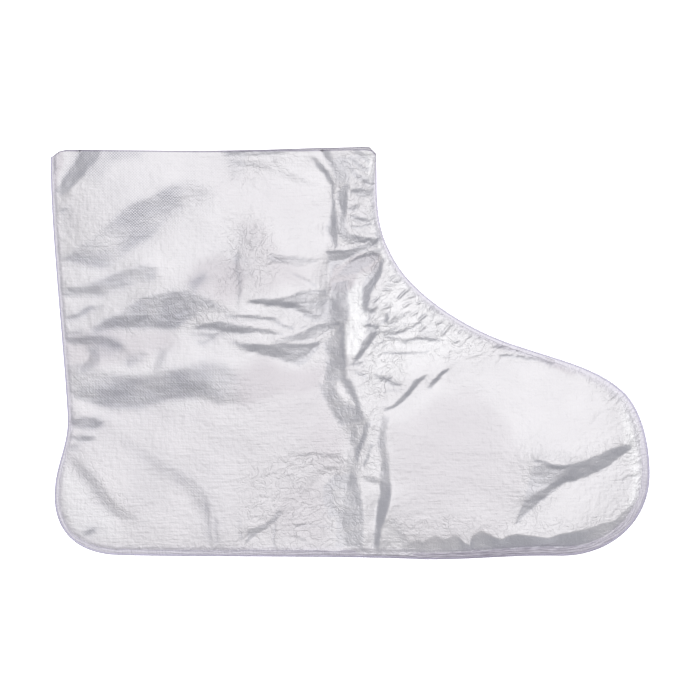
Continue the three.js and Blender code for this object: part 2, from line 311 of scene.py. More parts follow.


# %% [markdown]
# ## The folds, part by part
#
# A cover like this one comes folded small in a packet, and thin film keeps the folds.
# The leg keeps broad bands and pleats, the ankle a knot of short deep folds where the
# boot turns, and the foot long pleats and a dent over the toe. Each row below is one
# facet, and its blur says how soft its borders are. Rows listed one by one are slow work,
# but folds at random would make another cover, not this one.

# %% Folds of the leg
LEG_FOLDS = [
    # name, high line, low line, slope, blur
    ("corner pleat", [(-163, 137), (-170, 126), (-177, 118), (-184, 111), (-192, 106)],
     [(-178, 137), (-183, 127), (-188, 119), (-193, 113), (-197, 109)], 0.32, 1.0),
    ("corner pleat, soft side", [(-150, 137), (-158, 124), (-168, 112)],
     [(-163, 137), (-170, 126), (-178, 117)], 0.08, 3.0),
    ("corner pleat, outer", [(-193, 132), (-195, 128), (-195, 122)],
     [(-197, 130), (-198, 126), (-198, 120)], 0.30, 0.8),
    ("corner lens", [(-197, 110), (-191, 111), (-186, 109)],
     [(-196, 104), (-191, 107), (-187, 107)], 0.24, 0.8),
    ("corner crescent", [(-188, 100), (-189, 97), (-193, 94)],
     [(-187, 99), (-188, 96), (-192, 92)], 0.34, 0.8),
    ("back patch", [(-195, 97), (-186, 97), (-178, 92)],
     [(-193, 80), (-186, 80), (-180, 82)], 0.06, 2.0),
    ("upper band", [(-191, 64), (-180, 71), (-172, 77), (-165, 82), (-158, 88), (-150, 96),
                    (-142, 100), (-135, 102), (-128, 107), (-122, 109), (-114, 113),
                    (-114, 114)],
     [(-192, 60), (-180, 60), (-172, 57), (-163, 56), (-155, 60), (-150, 65), (-143, 70),
      (-136, 74), (-128, 80), (-122, 87), (-115, 92), (-110, 96)], 0.13, 1.6),
    ("upper band, tip", [(-114, 114), (-108, 114), (-98, 110), (-90, 107)],
     [(-112, 95), (-106, 98), (-98, 102), (-90, 104)], 0.06, 2.0),
    ("middle band", [(-190, 43), (-175, 45), (-160, 51), (-150, 55), (-140, 58), (-128, 57)],
     [(-190, 37), (-178, 36), (-165, 37), (-155, 42), (-145, 45), (-128, 48)],
     0.20, 1.4),
    ("middle band, root", [(-190, 42), (-178, 42), (-165, 44)],
     [(-190, 38), (-178, 38), (-165, 40)], 0.14, 1.0),
    ("back thin lens", [(-189, 24), (-184, 25), (-180, 26), (-177, 29), (-172, 31),
                        (-163, 31)],
     [(-189, 22), (-184, 22), (-180, 22), (-176, 25), (-172, 29), (-163, 30)],
     0.36, 0.8),
    ("back thin line", [(-188, 14), (-183, 14), (-177, 15)],
     [(-188, 12), (-183, 12), (-177, 14)], 0.30, 0.8),
    ("back lens", [(-191, 10), (-182, 10), (-175, 11), (-168, 12), (-160, 11), (-152, 7)],
     [(-191, 7), (-182, 6), (-175, 6), (-168, 6), (-160, 5), (-152, 3)],
     0.26, 0.8),
    ("back lens, soft side", [(-174, 6), (-165, 7), (-158, 5), (-148, 4)],
     [(-172, 0), (-166, -3), (-160, -2), (-150, 1)], 0.10, 1.2),
    ("lower band", [(-171, 17), (-165, 20), (-157, 24), (-150, 28), (-143, 34), (-135, 38),
                    (-125, 40), (-115, 41), (-105, 40), (-95, 37), (-88, 33), (-80, 29)],
     [(-170, 13), (-160, 16), (-150, 17), (-140, 16), (-130, 16), (-120, 15), (-113, 17),
      (-108, 21), (-100, 25), (-90, 26), (-80, 26)], 0.20, 1.2),
    ("lower band, core", [(-167, 20), (-155, 23), (-140, 24), (-125, 24), (-112, 24)],
     [(-167, 16), (-155, 17), (-140, 17), (-125, 16), (-112, 18)], 0.08, 1.0),
    ("lower band, corner", [(-106, 46), (-101, 50), (-96, 54)],
     [(-104, 40), (-100, 45), (-95, 50)], 0.22, 1.0),
    ("small dip", [(-147, -2), (-141, 1), (-134, 1)],
     [(-149, -8), (-143, -9), (-137, -4)], 0.20, 1.0),
    ("small dip, right", [(-120, 2), (-123, -5), (-127, -13)],
     [(-126, 2), (-129, -6), (-131, -13)], 0.14, 1.2),
    ("oval bump", [(-170, 4), (-166, -3), (-168, -9), (-177, -12), (-189, -12)],
     [(-177, 5), (-173, 0), (-174, -4), (-178, -7), (-189, -8)], 0.20, 1.0),
    ("mouth strip", [(-83, 136), (-75, 136), (-68, 136)],
     [(-81, 116), (-75, 114), (-70, 116)], 0.10, 2.0),
    ("mouth lip", [(-84, 136), (-60, 137), (-45, 137), (-28, 138)],
     [(-82, 131), (-60, 131), (-45, 132), (-30, 134)], 0.20, 1.0),
    ("mouth lip, shade", [(-68, 133), (-55, 133), (-42, 133)],
     [(-66, 120), (-54, 121), (-44, 124)], 0.07, 3.0),
    ("mouth lip, left", [(-160, 136), (-150, 136), (-140, 136)],
     [(-160, 129), (-150, 129), (-138, 130)], 0.10, 2.0),
    ("long crease", [(-80, 128), (-60, 126), (-50, 123), (-40, 120), (-33, 118), (-25, 114),
                     (-15, 110)],
     [(-80, 125), (-60, 123), (-50, 120), (-40, 116), (-33, 113), (-25, 111), (-15, 109)],
     0.13, 1.2),
    ("leg lens", [(-53, 66), (-45, 65), (-38, 64), (-30, 63), (-20, 62)],
     [(-53, 61), (-45, 59), (-40, 58), (-33, 56), (-29, 59), (-20, 61)], 0.26, 0.9),
    ("leg lens, lower", [(-42, 55), (-36, 52), (-30, 50), (-26, 48), (-22, 44)],
     [(-42, 54), (-36, 50), (-31, 48), (-27, 46), (-23, 43)], 0.34, 0.8),
    ("upright shade", [(-56, 86), (-58, 70), (-60, 52)],
     [(-74, 86), (-77, 68), (-78, 48)], 0.10, 3.0),
    ("upright crease", [(-74, 66), (-74, 55), (-72, 45), (-72, 36), (-74, 28)],
     [(-76, 66), (-75, 55), (-74, 45), (-74, 36), (-75, 28)], 0.26, 0.8),
    ("front crease, left", [(-24, 131), (-18, 126), (-13, 120), (-10, 112)],
     [(-26, 128), (-20, 122), (-16, 117), (-12, 110)], 0.42, 0.8),
    ("front crease, top", [(-14, 137), (-12, 131), (-9, 124)],
     [(-20, 137), (-17, 131), (-12, 124)], 0.50, 0.8),
    ("front grey", [(-1, 130), (0, 122), (0, 114)],
     [(-12, 130), (-11, 122), (-9, 112)], 0.30, 1.6),
    ("front crease", [(-10, 110), (-10, 100), (-9, 90), (-8, 80), (-7, 70)],
     [(-12, 110), (-12, 100), (-13, 90), (-16, 83), (-13, 77), (-9, 70)], 0.60, 0.6),
    ("front panel", [(-1, 114), (-1, 105), (-2, 97), (-3, 93)],
     [(-8, 107), (-8, 102), (-7, 97), (-5, 92)], 0.50, 0.8),
    ("front panel, foot", [(-2, 94), (-2, 90), (-3, 85), (0, 80), (6, 76), (13, 75)],
     [(-8, 93), (-8, 86), (-8, 80), (-4, 73), (4, 72), (13, 73)], 0.30, 1.0),
    ("mouth fold", [(-14, 136), (-7, 135), (0, 135), (8, 135)],
     [(-10, 131), (-5, 128), (0, 127), (5, 131)], 0.12, 0.8),
    ("corner fan, top", [(4, 135), (9, 133), (14, 129)],
     [(3, 132), (8, 129), (14, 126)], 0.42, 0.6),
    ("corner fan, middle", [(1, 131), (6, 127), (10, 124), (14, 123)],
     [(0, 129), (5, 124), (10, 121), (14, 120)], 0.45, 0.6),
    ("corner fan, low", [(1, 127), (4, 121), (8, 118), (14, 116)],
     [(0, 124), (2, 117), (7, 114), (14, 111)], 0.40, 0.7),
    ("front lens, high", [(1, 109), (5, 110), (9, 109), (14, 107)],
     [(1, 106), (6, 106), (10, 104), (15, 104)], 0.50, 0.7),
    ("front lens, spot", [(9, 115), (13, 114)], [(9, 112), (13, 111)], 0.36, 0.7),
    ("front lens, middle", [(0, 93), (4, 92), (9, 91), (14, 89)],
     [(0, 91), (4, 89), (9, 88), (14, 87)], 0.44, 0.7),
    ("front lens, low", [(0, 86), (5, 85), (10, 86), (15, 88)],
     [(0, 85), (5, 83), (10, 84), (15, 86)], 0.50, 0.6),
    ("front band", [(3, 79), (9, 77), (15, 77), (19, 76)],
     [(3, 75), (9, 73), (15, 73), (18, 72)], 0.34, 0.8),
    ("front nick", [(-2, 96), (1, 98), (5, 99)],
     [(-1, 94), (2, 95), (6, 96)], 0.34, 0.7),
    ("front smudge", [(3, 104), (8, 102), (12, 99)],
     [(2, 99), (6, 96), (10, 94)], 0.14, 1.0),
]

# %% Folds of the ankle
ANKLE_FOLDS = [
    ("bow", [(-15, 67), (-9, 68), (-3, 68), (3, 69), (8, 71), (13, 73), (19, 77)],
     [(-13, 50), (-11, 57), (-7, 60), (-2, 62), (4, 65), (9, 67), (18, 71)], 0.62, 0.5),
    ("bow, face", [(-4, 57), (2, 62), (8, 65), (14, 67), (22, 69)],
     [(-8, 53), (-2, 52), (4, 53), (10, 57), (18, 62)], 0.50, 0.8),
    ("bow, lip", [(-13, 50), (-9, 49), (-4, 49), (0, 50), (4, 50)],
     [(-13, 48), (-9, 46), (-4, 46), (0, 48), (4, 48)], -0.20, 0.5),
    ("dark tail", [(24, 64), (22, 57), (20, 51), (16, 44), (13, 34), (11, 27)],
     [(20, 62), (16, 57), (12, 52), (8, 45), (8, 38), (8, 28)], 0.55, 0.6),
    ("white strip", [(0, 50), (0, 40), (-1, 30), (-2, 20), (-2, 10), (-3, 0), (-1, -5)],
     [(3, 50), (7, 46), (9, 38), (9, 28), (7, 16), (5, 4), (2, -4)], -0.06, 0.6),
    ("ankle wedge", [(-67, 34), (-60, 36), (-50, 35), (-40, 37), (-33, 40), (-25, 42),
                     (-15, 42)],
     [(-67, 32), (-55, 31), (-45, 30), (-38, 29), (-30, 25), (-22, 22), (-12, 20)],
     0.34, 0.8),
    ("ankle wedge, keel", [(-67, 34), (-55, 34), (-45, 33), (-36, 32), (-28, 29), (-18, 25)],
     [(-67, 32), (-55, 31), (-45, 30), (-38, 29), (-30, 25), (-20, 21)],
     0.22, 0.7),
    ("ankle fold", [(-51, 8), (-43, 10), (-37, 12), (-30, 15), (-24, 18), (-17, 20),
                    (-8, 20.5)],
     [(-50, 6), (-40, 7), (-30, 8), (-22, 10), (-17, 13), (-12, 15), (-6, 19)],
     0.30, 0.7),
    ("ankle fold, rim", [(-28, 17), (-22, 19), (-15, 20), (-6, 21)],
     [(-28, 15), (-22, 16), (-15, 17), (-7, 19)], 0.25, 0.6),
    ("ankle lens", [(-79, 8), (-73, 6), (-60, 6), (-52, 5), (-46, 7), (-40, 6),
                    (-28, 6), (-19, 7)],
     [(-78, 6), (-72, 2), (-63, -1), (-52, -3), (-42, -6), (-33, -8), (-27, -5),
      (-19, 5)], 0.42, 0.6),
    ("left slash", [(-103, 16), (-96, 19), (-90, 21), (-84, 21), (-78, 18), (-66, 17),
                    (-56, 16), (-44, 13)],
     [(-103, 15), (-96, 15), (-88, 15), (-80, 13), (-72, 12), (-62, 14), (-52, 13),
      (-44, 12)], 0.42, 0.6),
    ("double line", [(-83, 25), (-70, 25), (-58, 24), (-50, 24), (-46, 21), (-37, 17)],
     [(-83, 24), (-70, 23), (-58, 22), (-51, 22), (-47, 19), (-38, 15)], 0.42, 0.6),
    ("double line, under", [(-77, 23), (-70, 22), (-61, 22)],
     [(-77, 22), (-70, 21), (-61, 21)], 0.34, 0.6),
    ("slash, hook", [(-91, 12), (-94, 9), (-97, 7), (-102, 8)],
     [(-90, 10), (-93, 8), (-97, 5), (-102, 7)], 0.34, 0.7),
    ("slash, tail", [(-107, 12), (-100, 12), (-92, 13), (-88, 13), (-83, 12)],
     [(-107, 11), (-100, 11), (-92, 11), (-88, 12), (-83, 11)], 0.34, 0.7),
    ("rising line", [(-34, 16), (-29, 19), (-24, 20), (-18, 20)],
     [(-34, 15), (-29, 18), (-24, 19), (-18, 19)], 0.36, 0.6),
    ("upright pleat, top", [(-1, 48), (-1, 40), (0, 32), (-1, 25), (-3, 21)],
     [(-12, 47), (-13, 40), (-15, 32), (-15, 26), (-12, 21)], 0.46, 0.6),
    ("upright pleat", [(-4, 22), (-4, 12), (-4, 4), (-3, -6), (-2, -18)],
     [(-8, 15), (-17, 7), (-16, -2), (-16, -10), (-16, -19)], 0.30, 0.6),
    ("pleat, right branch", [(0, -17), (4, -25), (7, -34), (9, -38)],
     [(-5, -19), (-2, -27), (3, -32), (5, -38)], 0.42, 0.6),
    ("pleat, left branch", [(-10, -19), (-8, -27), (-1, -33), (8, -38), (10, -44)],
     [(-21, -21), (-18, -30), (-13, -38), (-9, -44), (-6, -48)], 0.28, 0.8),
    ("pleat shadow", [(-3, 14), (-3, 4), (-2, -8)],
     [(-5, 14), (-5, 4), (-4, -8)], 0.40, 0.5),
    ("knot arc", [(27, 28), (25, 21), (20, 18), (14, 18), (10, 19)],
     [(24, 27), (21, 19), (18, 15), (14, 15), (10, 17)], 0.70, 0.5),
    ("knot zigzag", [(18, 16), (13, 14), (10, 9), (7, 4), (5, 0), (2, -3)],
     [(21, 14), (17, 9), (13, 5), (10, 1), (8, -2), (4, -6)], 0.62, 0.5),
    ("knot spur", [(12, 7), (17, 7)], [(12, 6), (17, 5)], 0.50, 0.5),
    ("knot hook", [(22, 9), (22, 7), (19, 5)], [(23, 8), (23, 6), (19, 4)], 0.50, 0.5),
    ("knot ray, high", [(23, 13), (28, 16), (33, 18), (38, 21)],
     [(23, 12), (28, 14), (33, 17), (38, 20)], 0.50, 0.5),
    ("knot ray, middle", [(22, 11), (28, 13), (35, 16), (42, 19), (48, 21)],
     [(22, 10), (28, 11), (35, 13), (42, 17), (48, 20)], 0.46, 0.6),
    ("knot ray, low", [(24, 10), (31, 10), (38, 9), (44, 11), (50, 10), (62, 9)],
     [(24, 9), (31, 8), (38, 7), (44, 9), (50, 8), (62, 8)], 0.42, 0.6),
    ("flat ray", [(22, 0), (30, 1), (38, 1), (46, 0), (53, 1)],
     [(22, -1), (30, -1), (38, -1), (46, -1), (53, 0)], 0.46, 0.5),
    ("knot stem", [(11, 27), (11, 20), (11, 13)], [(13, 27), (13, 20), (12, 13)],
     0.40, 0.5),
    ("knot cap", [(6, 30), (11, 30), (16, 29)], [(7, 28), (11, 27), (16, 26)],
     0.60, 0.6),
    ("sail", [(26, 18), (29, 23), (34, 27), (42, 29)],
     [(28, 17), (31, 20), (36, 24), (42, 27)], 0.22, 0.8),
    ("knot wedge", [(17, -15), (22, -16), (26, -16), (30, -18), (35, -20)],
     [(17, -17), (22, -19), (26, -20), (30, -21), (35, -22)], 0.54, 0.5),
    ("knot wedge, low", [(23, -24), (30, -23), (35, -24)],
     [(23, -26), (30, -25), (35, -25)], 0.30, 0.7),
    ("knot thread", [(1, -10), (6, -13), (13, -16)], [(1, -12), (6, -15), (13, -18)],
     0.40, 0.5),
    ("knot dash", [(0, -6), (4, -6), (8, -5)], [(0, -7), (4, -8), (8, -7)], 0.34, 0.6),
    ("lower slash", [(23, -37), (29, -35), (33, -31), (38, -25), (43, -18), (49, -15)],
     [(24, -39), (30, -37), (35, -33), (40, -28), (45, -21), (50, -16)],
     0.55, 0.5),
    ("upper slash", [(51, -23), (56, -17), (60, -13), (65, -11)],
     [(53, -25), (58, -19), (62, -15), (66, -12)], 0.60, 0.5),
]

# %% Folds of the foot
FOOT_FOLDS = [
    ("heel lens", [(-188, -12), (-178, -11), (-168, -11), (-158, -13), (-148, -14), (-138, -15),
                   (-128, -14), (-119, -12), (-110, -9), (-100, -6), (-90, -6), (-81, -8),
                   (-73, -14)],
     [(-188, -25), (-180, -31), (-172, -34), (-162, -36), (-152, -37), (-143, -38),
      (-134, -35), (-125, -32), (-115, -30), (-105, -30), (-95, -32), (-85, -35),
      (-73, -33)], 0.10, 1.3),
    ("heel lens, low", [(-180, -22), (-160, -25), (-143, -26), (-125, -22), (-105, -20),
                        (-85, -23)],
     [(-180, -31), (-162, -36), (-143, -38), (-125, -32), (-105, -30), (-85, -35)],
     0.09, 1.3),
    ("heel lens, core", [(-158, -15), (-145, -16), (-132, -16), (-119, -14), (-105, -11),
                         (-92, -11)],
     [(-158, -29), (-145, -30), (-132, -28), (-119, -26), (-105, -25), (-92, -24)],
     0.06, 2.0),
    ("heel lens, small", [(-186, -46), (-181, -44), (-177, -42), (-170, -43), (-164, -47)],
     [(-186, -48), (-181, -50), (-176, -50), (-170, -50), (-164, -48)], 0.34, 0.8),
    ("heel lens, smaller", [(-187, -56), (-181, -55), (-176, -55), (-169, -56)],
     [(-187, -57), (-181, -59), (-175, -59), (-169, -58)], 0.34, 0.8),
    ("heel notch", [(-188, -61), (-182, -61), (-179, -63)],
     [(-189, -65), (-184, -66), (-180, -65)], 0.20, 0.9),
    ("heel valley", [(-188, -65), (-182, -70), (-170, -79), (-163, -90), (-153, -103),
                     (-140, -109)],
     [(-191, -69), (-185, -75), (-176, -86), (-168, -97), (-157, -109), (-145, -112)],
     0.12, 1.0),
    ("heel nick", [(-177, -121), (-172, -117), (-168, -115)],
     [(-177, -122), (-172, -121), (-168, -118)], 0.34, 0.8),
    ("heel diagonal", [(-150, -55), (-135, -65), (-115, -77), (-98, -88), (-94, -105),
                       (-92, -124)],
     [(-153, -60), (-140, -71), (-125, -80), (-108, -93), (-98, -108), (-96, -124)],
     0.07, 2.0),
    ("sole line, a", [(-95, -97), (-94, -110), (-91, -125)],
     [(-97, -97), (-95, -110), (-93, -125)], 0.22, 0.7),
    ("sole line, b", [(-88, -110), (-88, -119), (-87, -127)],
     [(-90, -110), (-89, -119), (-89, -127)], 0.26, 0.7),
    ("sole line, c", [(-72, -111), (-72, -117), (-71, -123)],
     [(-74, -111), (-73, -117), (-73, -123)], 0.30, 0.7),
    ("sole hook", [(-46, -102), (-50, -107), (-54, -112), (-59, -115), (-67, -118)],
     [(-45, -106), (-49, -111), (-54, -116), (-60, -120), (-68, -127)], 0.36, 0.7),
    ("sole line, d", [(-49, -114), (-50, -122), (-49, -130)],
     [(-51, -114), (-52, -122), (-51, -130)], 0.30, 0.7),
    ("sole line, e", [(-36, -119), (-31, -123), (-26, -127)],
     [(-36, -121), (-32, -125), (-27, -129)], 0.24, 0.8),
    ("sole line, f", [(-37, -115), (-30, -113), (-22, -113), (-10, -115)],
     [(-37, -116), (-30, -115), (-22, -115), (-10, -117)], 0.26, 0.7),
    ("side line", [(-33, -68), (-22, -67), (-12, -68), (-4, -69)],
     [(-33, -69), (-22, -68), (-12, -70), (-4, -71)], 0.26, 0.6),
    ("foot pleat, high", [(9, -40), (10, -50), (12, -58), (12, -64)],
     [(-7, -44), (-5, -51), (-1, -58), (4, -65)], 0.12, 1.2),
    ("foot pleat, spine", [(4, -50), (5, -60), (6, -70), (6, -80), (7, -92)],
     [(0, -50), (0, -60), (-1, -70), (-2, -80), (-1, -92)], 0.16, 0.8),
    ("foot pleat, low", [(4, -82), (7, -92), (9, -104), (9, -114), (9, -129)],
     [(-4, -80), (-13, -90), (-13, -100), (-8, -110), (-9, -129)], 0.27, 0.8),
    ("foot pleat, edge", [(-6, -82), (-11, -90), (-11, -99), (-7, -108)],
     [(-9, -80), (-17, -89), (-17, -100), (-12, -110)], 0.34, 1.0),
    ("foot pleat, slant", [(14, -46), (12, -54), (8, -64), (6, -72)],
     [(11, -45), (8, -53), (5, -62), (4, -71)], 0.40, 0.6),
    ("foot pleat, slant two", [(16, -62), (13, -70), (10, -77)],
     [(14, -61), (11, -69), (8, -76)], 0.40, 0.6),
    ("strip nick", [(8, -82), (13, -83), (19, -84)], [(9, -84), (13, -88), (18, -87)],
     0.30, 0.7),
    ("foot crease, high", [(27, -42), (25, -52), (24, -62), (26, -74), (27, -86)],
     [(21, -42), (20, -52), (19, -62), (21, -72), (20, -86)], 0.30, 0.7),
    ("foot crease, low", [(27, -86), (27, -98), (25, -108), (21, -116), (19, -129)],
     [(20, -86), (19, -96), (18, -106), (16, -116), (15, -129)], 0.55, 0.6),
    ("foot fan", [(29, -109), (33, -115), (37, -121), (41, -127)],
     [(27, -112), (30, -118), (34, -125), (38, -130)], 0.14, 0.8),
    ("toe dent, blade", [(143, -75), (149, -73), (157, -71), (165, -68), (172, -65), (180, -62),
                         (187, -62)],
     [(145, -86), (152, -85), (160, -82), (168, -78), (175, -73), (180, -69), (187, -65)],
     0.46, 0.6),
    ("toe dent, body", [(145, -75), (138, -75), (130, -75), (122, -75)],
     [(146, -84), (137, -90), (126, -99), (110, -114)], 0.30, 0.9),
    ("toe dent, body, low", [(146, -81), (136, -86), (125, -92), (117, -98)],
     [(146, -85), (137, -91), (126, -100), (110, -114)], 0.30, 0.7),
    ("toe dent, crest", [(122, -71), (130, -72), (137, -74), (144, -74)],
     [(122, -73), (130, -75), (137, -77), (144, -77)], 0.50, 0.6),
    ("toe arc", [(180, -84), (184, -81), (191, -81)], [(181, -86), (184, -83), (191, -83)],
     0.34, 0.6),
    ("toe arc, faint", [(160, -47), (163, -42), (169, -39)],
     [(161, -48), (164, -44), (169, -41)], 0.20, 0.8),
    ("instep wedge", [(98, 6), (108, 4), (118, 0), (128, -3), (137, -6)],
     [(96, 3), (106, 1), (116, -1), (126, -4), (136, -7)], 0.48, 0.7),
    ("instep line", [(100, -1), (106, -1), (112, -2), (118, -3), (126, -4), (136, -7)],
     [(100, -2), (106, -3), (112, -4), (118, -5), (126, -6), (136, -9)], 0.55, 0.5),
    ("instep patch", [(46, 22), (52, 26), (57, 24), (63, 20)],
     [(45, 10), (52, 9), (59, 9), (62, 12)], 0.13, 1.0),
]

print("folds:", len(LEG_FOLDS), "leg,", len(ANKLE_FOLDS), "ankle,", len(FOOT_FOLDS), "foot")

# %% [markdown]
# ## Patches of painted shade and light, and crumpled patches
#
# On a sheet this flat, light alone gives little change of tone, so the broad changes of
# tone are painted, as soft patches that the finish turns into colour: greyer patches are
# painted shade and whiter ones are painted light. Several patches are named only for
# where they lie: they make the tone right there, whatever the film does. A painted tone
# stays put when the lights move, which is the price of this way. The crumpled patches
# paint no tone. They say where the finest creases are deepest.

# %% Patches of painted shade and painted light
PAINTED_TONE_PATCHES = [
    # name, outline, how much painted shade, blur; below 0 is painted light
    ("lower leg and heel", [(-200, -40), (-185, -36), (-140, -38), (-100, -34), (-72, -18),
                            (-60, -9), (-30, -11), (-16, -8), (-14, -24), (-8, -44), (-4, -60),
                            (-2, -80), (-14, -90), (-10, -135), (-180, -135), (-200, -100)],
     0.30, 3),
    ("under the ankle", [(-80, -14), (-60, -3), (-45, -8), (-32, -10), (-18, -4), (-18, -22),
                         (-50, -30), (-74, -34)], 0.75, 2.5),
    ("ankle, front", [(-20, -22), (-14, -40), (-6, -58), (-4, -70), (-30, -60), (-60, -40)],
     0.25, 5),
    ("before the pleat", [(-16, -34), (-6, -52), (-4, -72), (-20, -84), (-46, -90), (-50, -120),
                          (-12, -126), (-16, -90), (-26, -60)], 0.35, 4),
    ("foot", [(27, -50), (34, -44), (48, -38), (60, -28), (74, -24), (88, -27), (98, -38),
              (106, -52), (114, -68), (116, -84), (110, -104), (104, -120), (40, -128),
              (28, -108)], 0.40, 2.5),
    ("foot, middle", [(34, -50), (60, -36), (84, -34), (98, -52), (104, -76), (90, -96),
                      (50, -96), (36, -80)], 0.20, 5),
    ("leg, front", [(-72, 86), (-76, 60), (-84, 44), (-60, 38), (-40, 46), (-30, 50), (-46, 66),
                    (-56, 84)], 0.5, 3),
    ("beside the lower band", [(-110, 44), (-100, 58), (-86, 68), (-74, 60), (-72, 40),
                               (-78, 30), (-96, 38)], 0.9, 3),
    ("leg, top", [(-92, 126), (-60, 120), (-30, 112), (-20, 90), (-50, 84), (-90, 96)], 0.2, 6),
    ("beside the wedge", [(-54, 62), (-20, 60), (-16, 46), (-34, 44), (-56, 40)], 0.3, 3),
    ("back of leg, middle", [(-192, 8), (-172, 16), (-158, 16), (-140, 14), (-118, 12),
                             (-112, 2), (-134, -4), (-158, -8), (-192, -8)], 0.85, 3),
    ("back of leg, high", [(-196, 110), (-186, 112), (-160, 100), (-176, 84), (-196, 78)],
     0.1, 4),
    ("corner", [(-200, 136), (-189, 137), (-192, 126), (-198, 104), (-201, 110)], 1.4, 1.2),
    ("bow, face", [(-8, 54), (0, 60), (10, 66), (20, 68), (20, 60), (13, 54), (4, 52)], 1.3, 1),
    ("heel corner", [(-192, -72), (-160, -108), (-150, -124), (-180, -124), (-192, -104)],
     -0.55, 3),
    ("front edge", [(12, 137), (19, 137), (22, 90), (34, 60), (60, 34), (56, 28), (26, 54),
                    (14, 84)], -0.7, 1.5),
    ("toe rim", [(176, -24), (186, -30), (198, -60), (199, -90), (190, -106), (183, -102),
                 (188, -80), (184, -50)], -0.9, 1.5),
    ("bow, underside", [(-12, 42), (-12, 58), (2, 58), (4, 50), (-1, 42)], 1.3, 0.8),
    ("instep wedge", [(96, 8), (104, 2), (136, -8), (150, -12), (132, 0), (112, 6)], 1.2, 1.0),
    ("painted light strip", [(0, 42), (4, 44), (8, 42), (9, 34), (9, 24), (6, 6), (3, -5), (-1, -4),
                    (-3, 6), (-2, 24), (-1, 40)], -1.2, 0.9),
    ("beside the lower slash", [(40, -32), (52, -18), (62, -10), (58, -26), (46, -38)], -0.15, 2),
    ("under the knot, painted light", [(2, -14), (16, -14), (20, -40), (20, -80), (14, -96), (12, -60)],
     -0.2, 2),
    ("instep, painted light", [(12, 26), (30, 56), (44, 40), (78, 16), (92, 4), (60, -4), (18, -22),
                      (6, -4)], -0.6, 4),
]

# %% Where the film is crumpled all over
CRUMPLES = [
    # name, outline, how much, blur
    ("instep", [(12, 70), (30, 66), (50, 40), (80, 20), (110, 8), (100, 0), (70, -6), (40, -8),
                (20, -30), (4, -10), (10, 28)], 0.6, 3),
    ("knot", [(6, 30), (28, 30), (36, 8), (38, -24), (20, -28), (2, -12), (4, 4)], 0.6, 3),
    ("front of leg", [(-14, 136), (18, 134), (20, 84), (22, 70), (-14, 68)], 0.8, 3),
    ("under the knot", [(2, -12), (20, -20), (26, -60), (22, -90), (8, -86), (4, -40)], 0.6, 3),
    ("bow and pleat", [(-14, 66), (18, 72), (22, 58), (12, 28), (-2, 22), (-4, -20), (8, -40),
                       (10, -130), (-16, -130), (-10, -50), (-20, -22), (-16, 40)], 0.45, 2),
    ("upper band", [(-190, 60), (-150, 60), (-120, 84), (-88, 102), (-96, 116), (-130, 108),
                    (-165, 86)], 0.45, 3),
    ("lower band", [(-170, 12), (-112, 14), (-78, 24), (-84, 34), (-110, 44), (-140, 38)],
     0.7, 3),
    ("wedges", [(-104, 22), (-80, 28), (-50, 38), (-16, 44), (-8, 20), (-20, -6), (-44, -8),
                (-80, 4)], 0.4, 3),
    ("leg patch", [(-84, 90), (-54, 94), (-44, 60), (-56, 40), (-90, 40)], 0.7, 4),
    ("mouth", [(-86, 136), (-30, 137), (-36, 122), (-66, 110), (-84, 114)], 0.5, 3),
    ("sole", [(-72, -130), (-12, -130), (-8, -66), (-30, -62), (-70, -78)], 0.6, 4),
    ("heel lens", [(-188, -8), (-140, -10), (-72, -4), (-66, -34), (-140, -38), (-186, -30)],
     0.3, 3),
    ("heel", [(-190, -60), (-160, -76), (-140, -114), (-170, -108), (-190, -84)], 0.4, 3),
    ("toe", [(150, -8), (182, -18), (202, -60), (202, -100), (186, -112), (180, -70),
             (172, -30)], 0.45, 3),
    ("toe dent", [(120, -68), (190, -56), (188, -70), (150, -88), (108, -118)], 0.5, 2),
    ("sole band", [(26, -106), (100, -112), (176, -106), (190, -96), (186, -116), (140, -132),
                   (30, -134)], 0.5, 2),
]

# %% [markdown]
# ## Swelling, puckers and crumples
#
# Between the folds the film does three more things. It swells up from the sewn edge: on
# most of the edge gently, and along the front of the sole in one steep wavy step. It
# puckers where the thread has drawn the edge short. And everywhere it keeps the small
# creases of a film that has been folded into a packet: short straight ridges, each with
# a sharp crest and two sloping sides.

# %% Rough film from noise
def rough(x, y, cell, seed, stretch=1.0, turn=0.0):
    """Smooth noise, about -1 to 1, with cells of that many mm, stretched one way."""
    c, s = math.cos(turn), math.sin(turn)
    u, v = (x * c + y * s) / (cell * stretch), (y * c - x * s) / cell
    values = [noise.noise((a, b, seed * 7.31)) for a, b in zip(u.ravel(), v.ravel())]
    return np.array(values).reshape(x.shape) * 1.6


# %% One small crease
STEEP_SIDE, SLACK_SIDE = 0.7, 1.3
CREST_ROUND = 0.15
CREST_POWER = 1.3


def add_crease(height, x, y, start, end, width, rise, bow=0.0, peak=1.0):
    """Adds a ridge with a sharp crest from start to end; peak below 1 moves it forward."""
    (x0, y0), (x1, y1) = start, end
    length = math.hypot(x1 - x0, y1 - y0)
    cx, cy = (x1 - x0) / length, (y1 - y0) / length
    margin = 1.5 * width + abs(bow) + 1
    near = ((x > min(x0, x1) - margin) & (x < max(x0, x1) + margin)
            & (y > min(y0, y1) - margin) & (y < max(y0, y1) + margin))
    dx, dy = x[near] - x0, y[near] - y0
    s = (dx * cx + dy * cy) / length
    inside = np.clip(s, 0, 1)
    across = dy * cx - dx * cy - bow * np.sin(np.pi * inside)
    wide = width * np.where(across > 0, SLACK_SIDE, STEEP_SIDE)
    crest = np.clip(1 - np.hypot(across, CREST_ROUND) / wide, 0, 1) ** CREST_POWER
    height[near] += rise * crest * np.sin(np.pi * inside**peak)


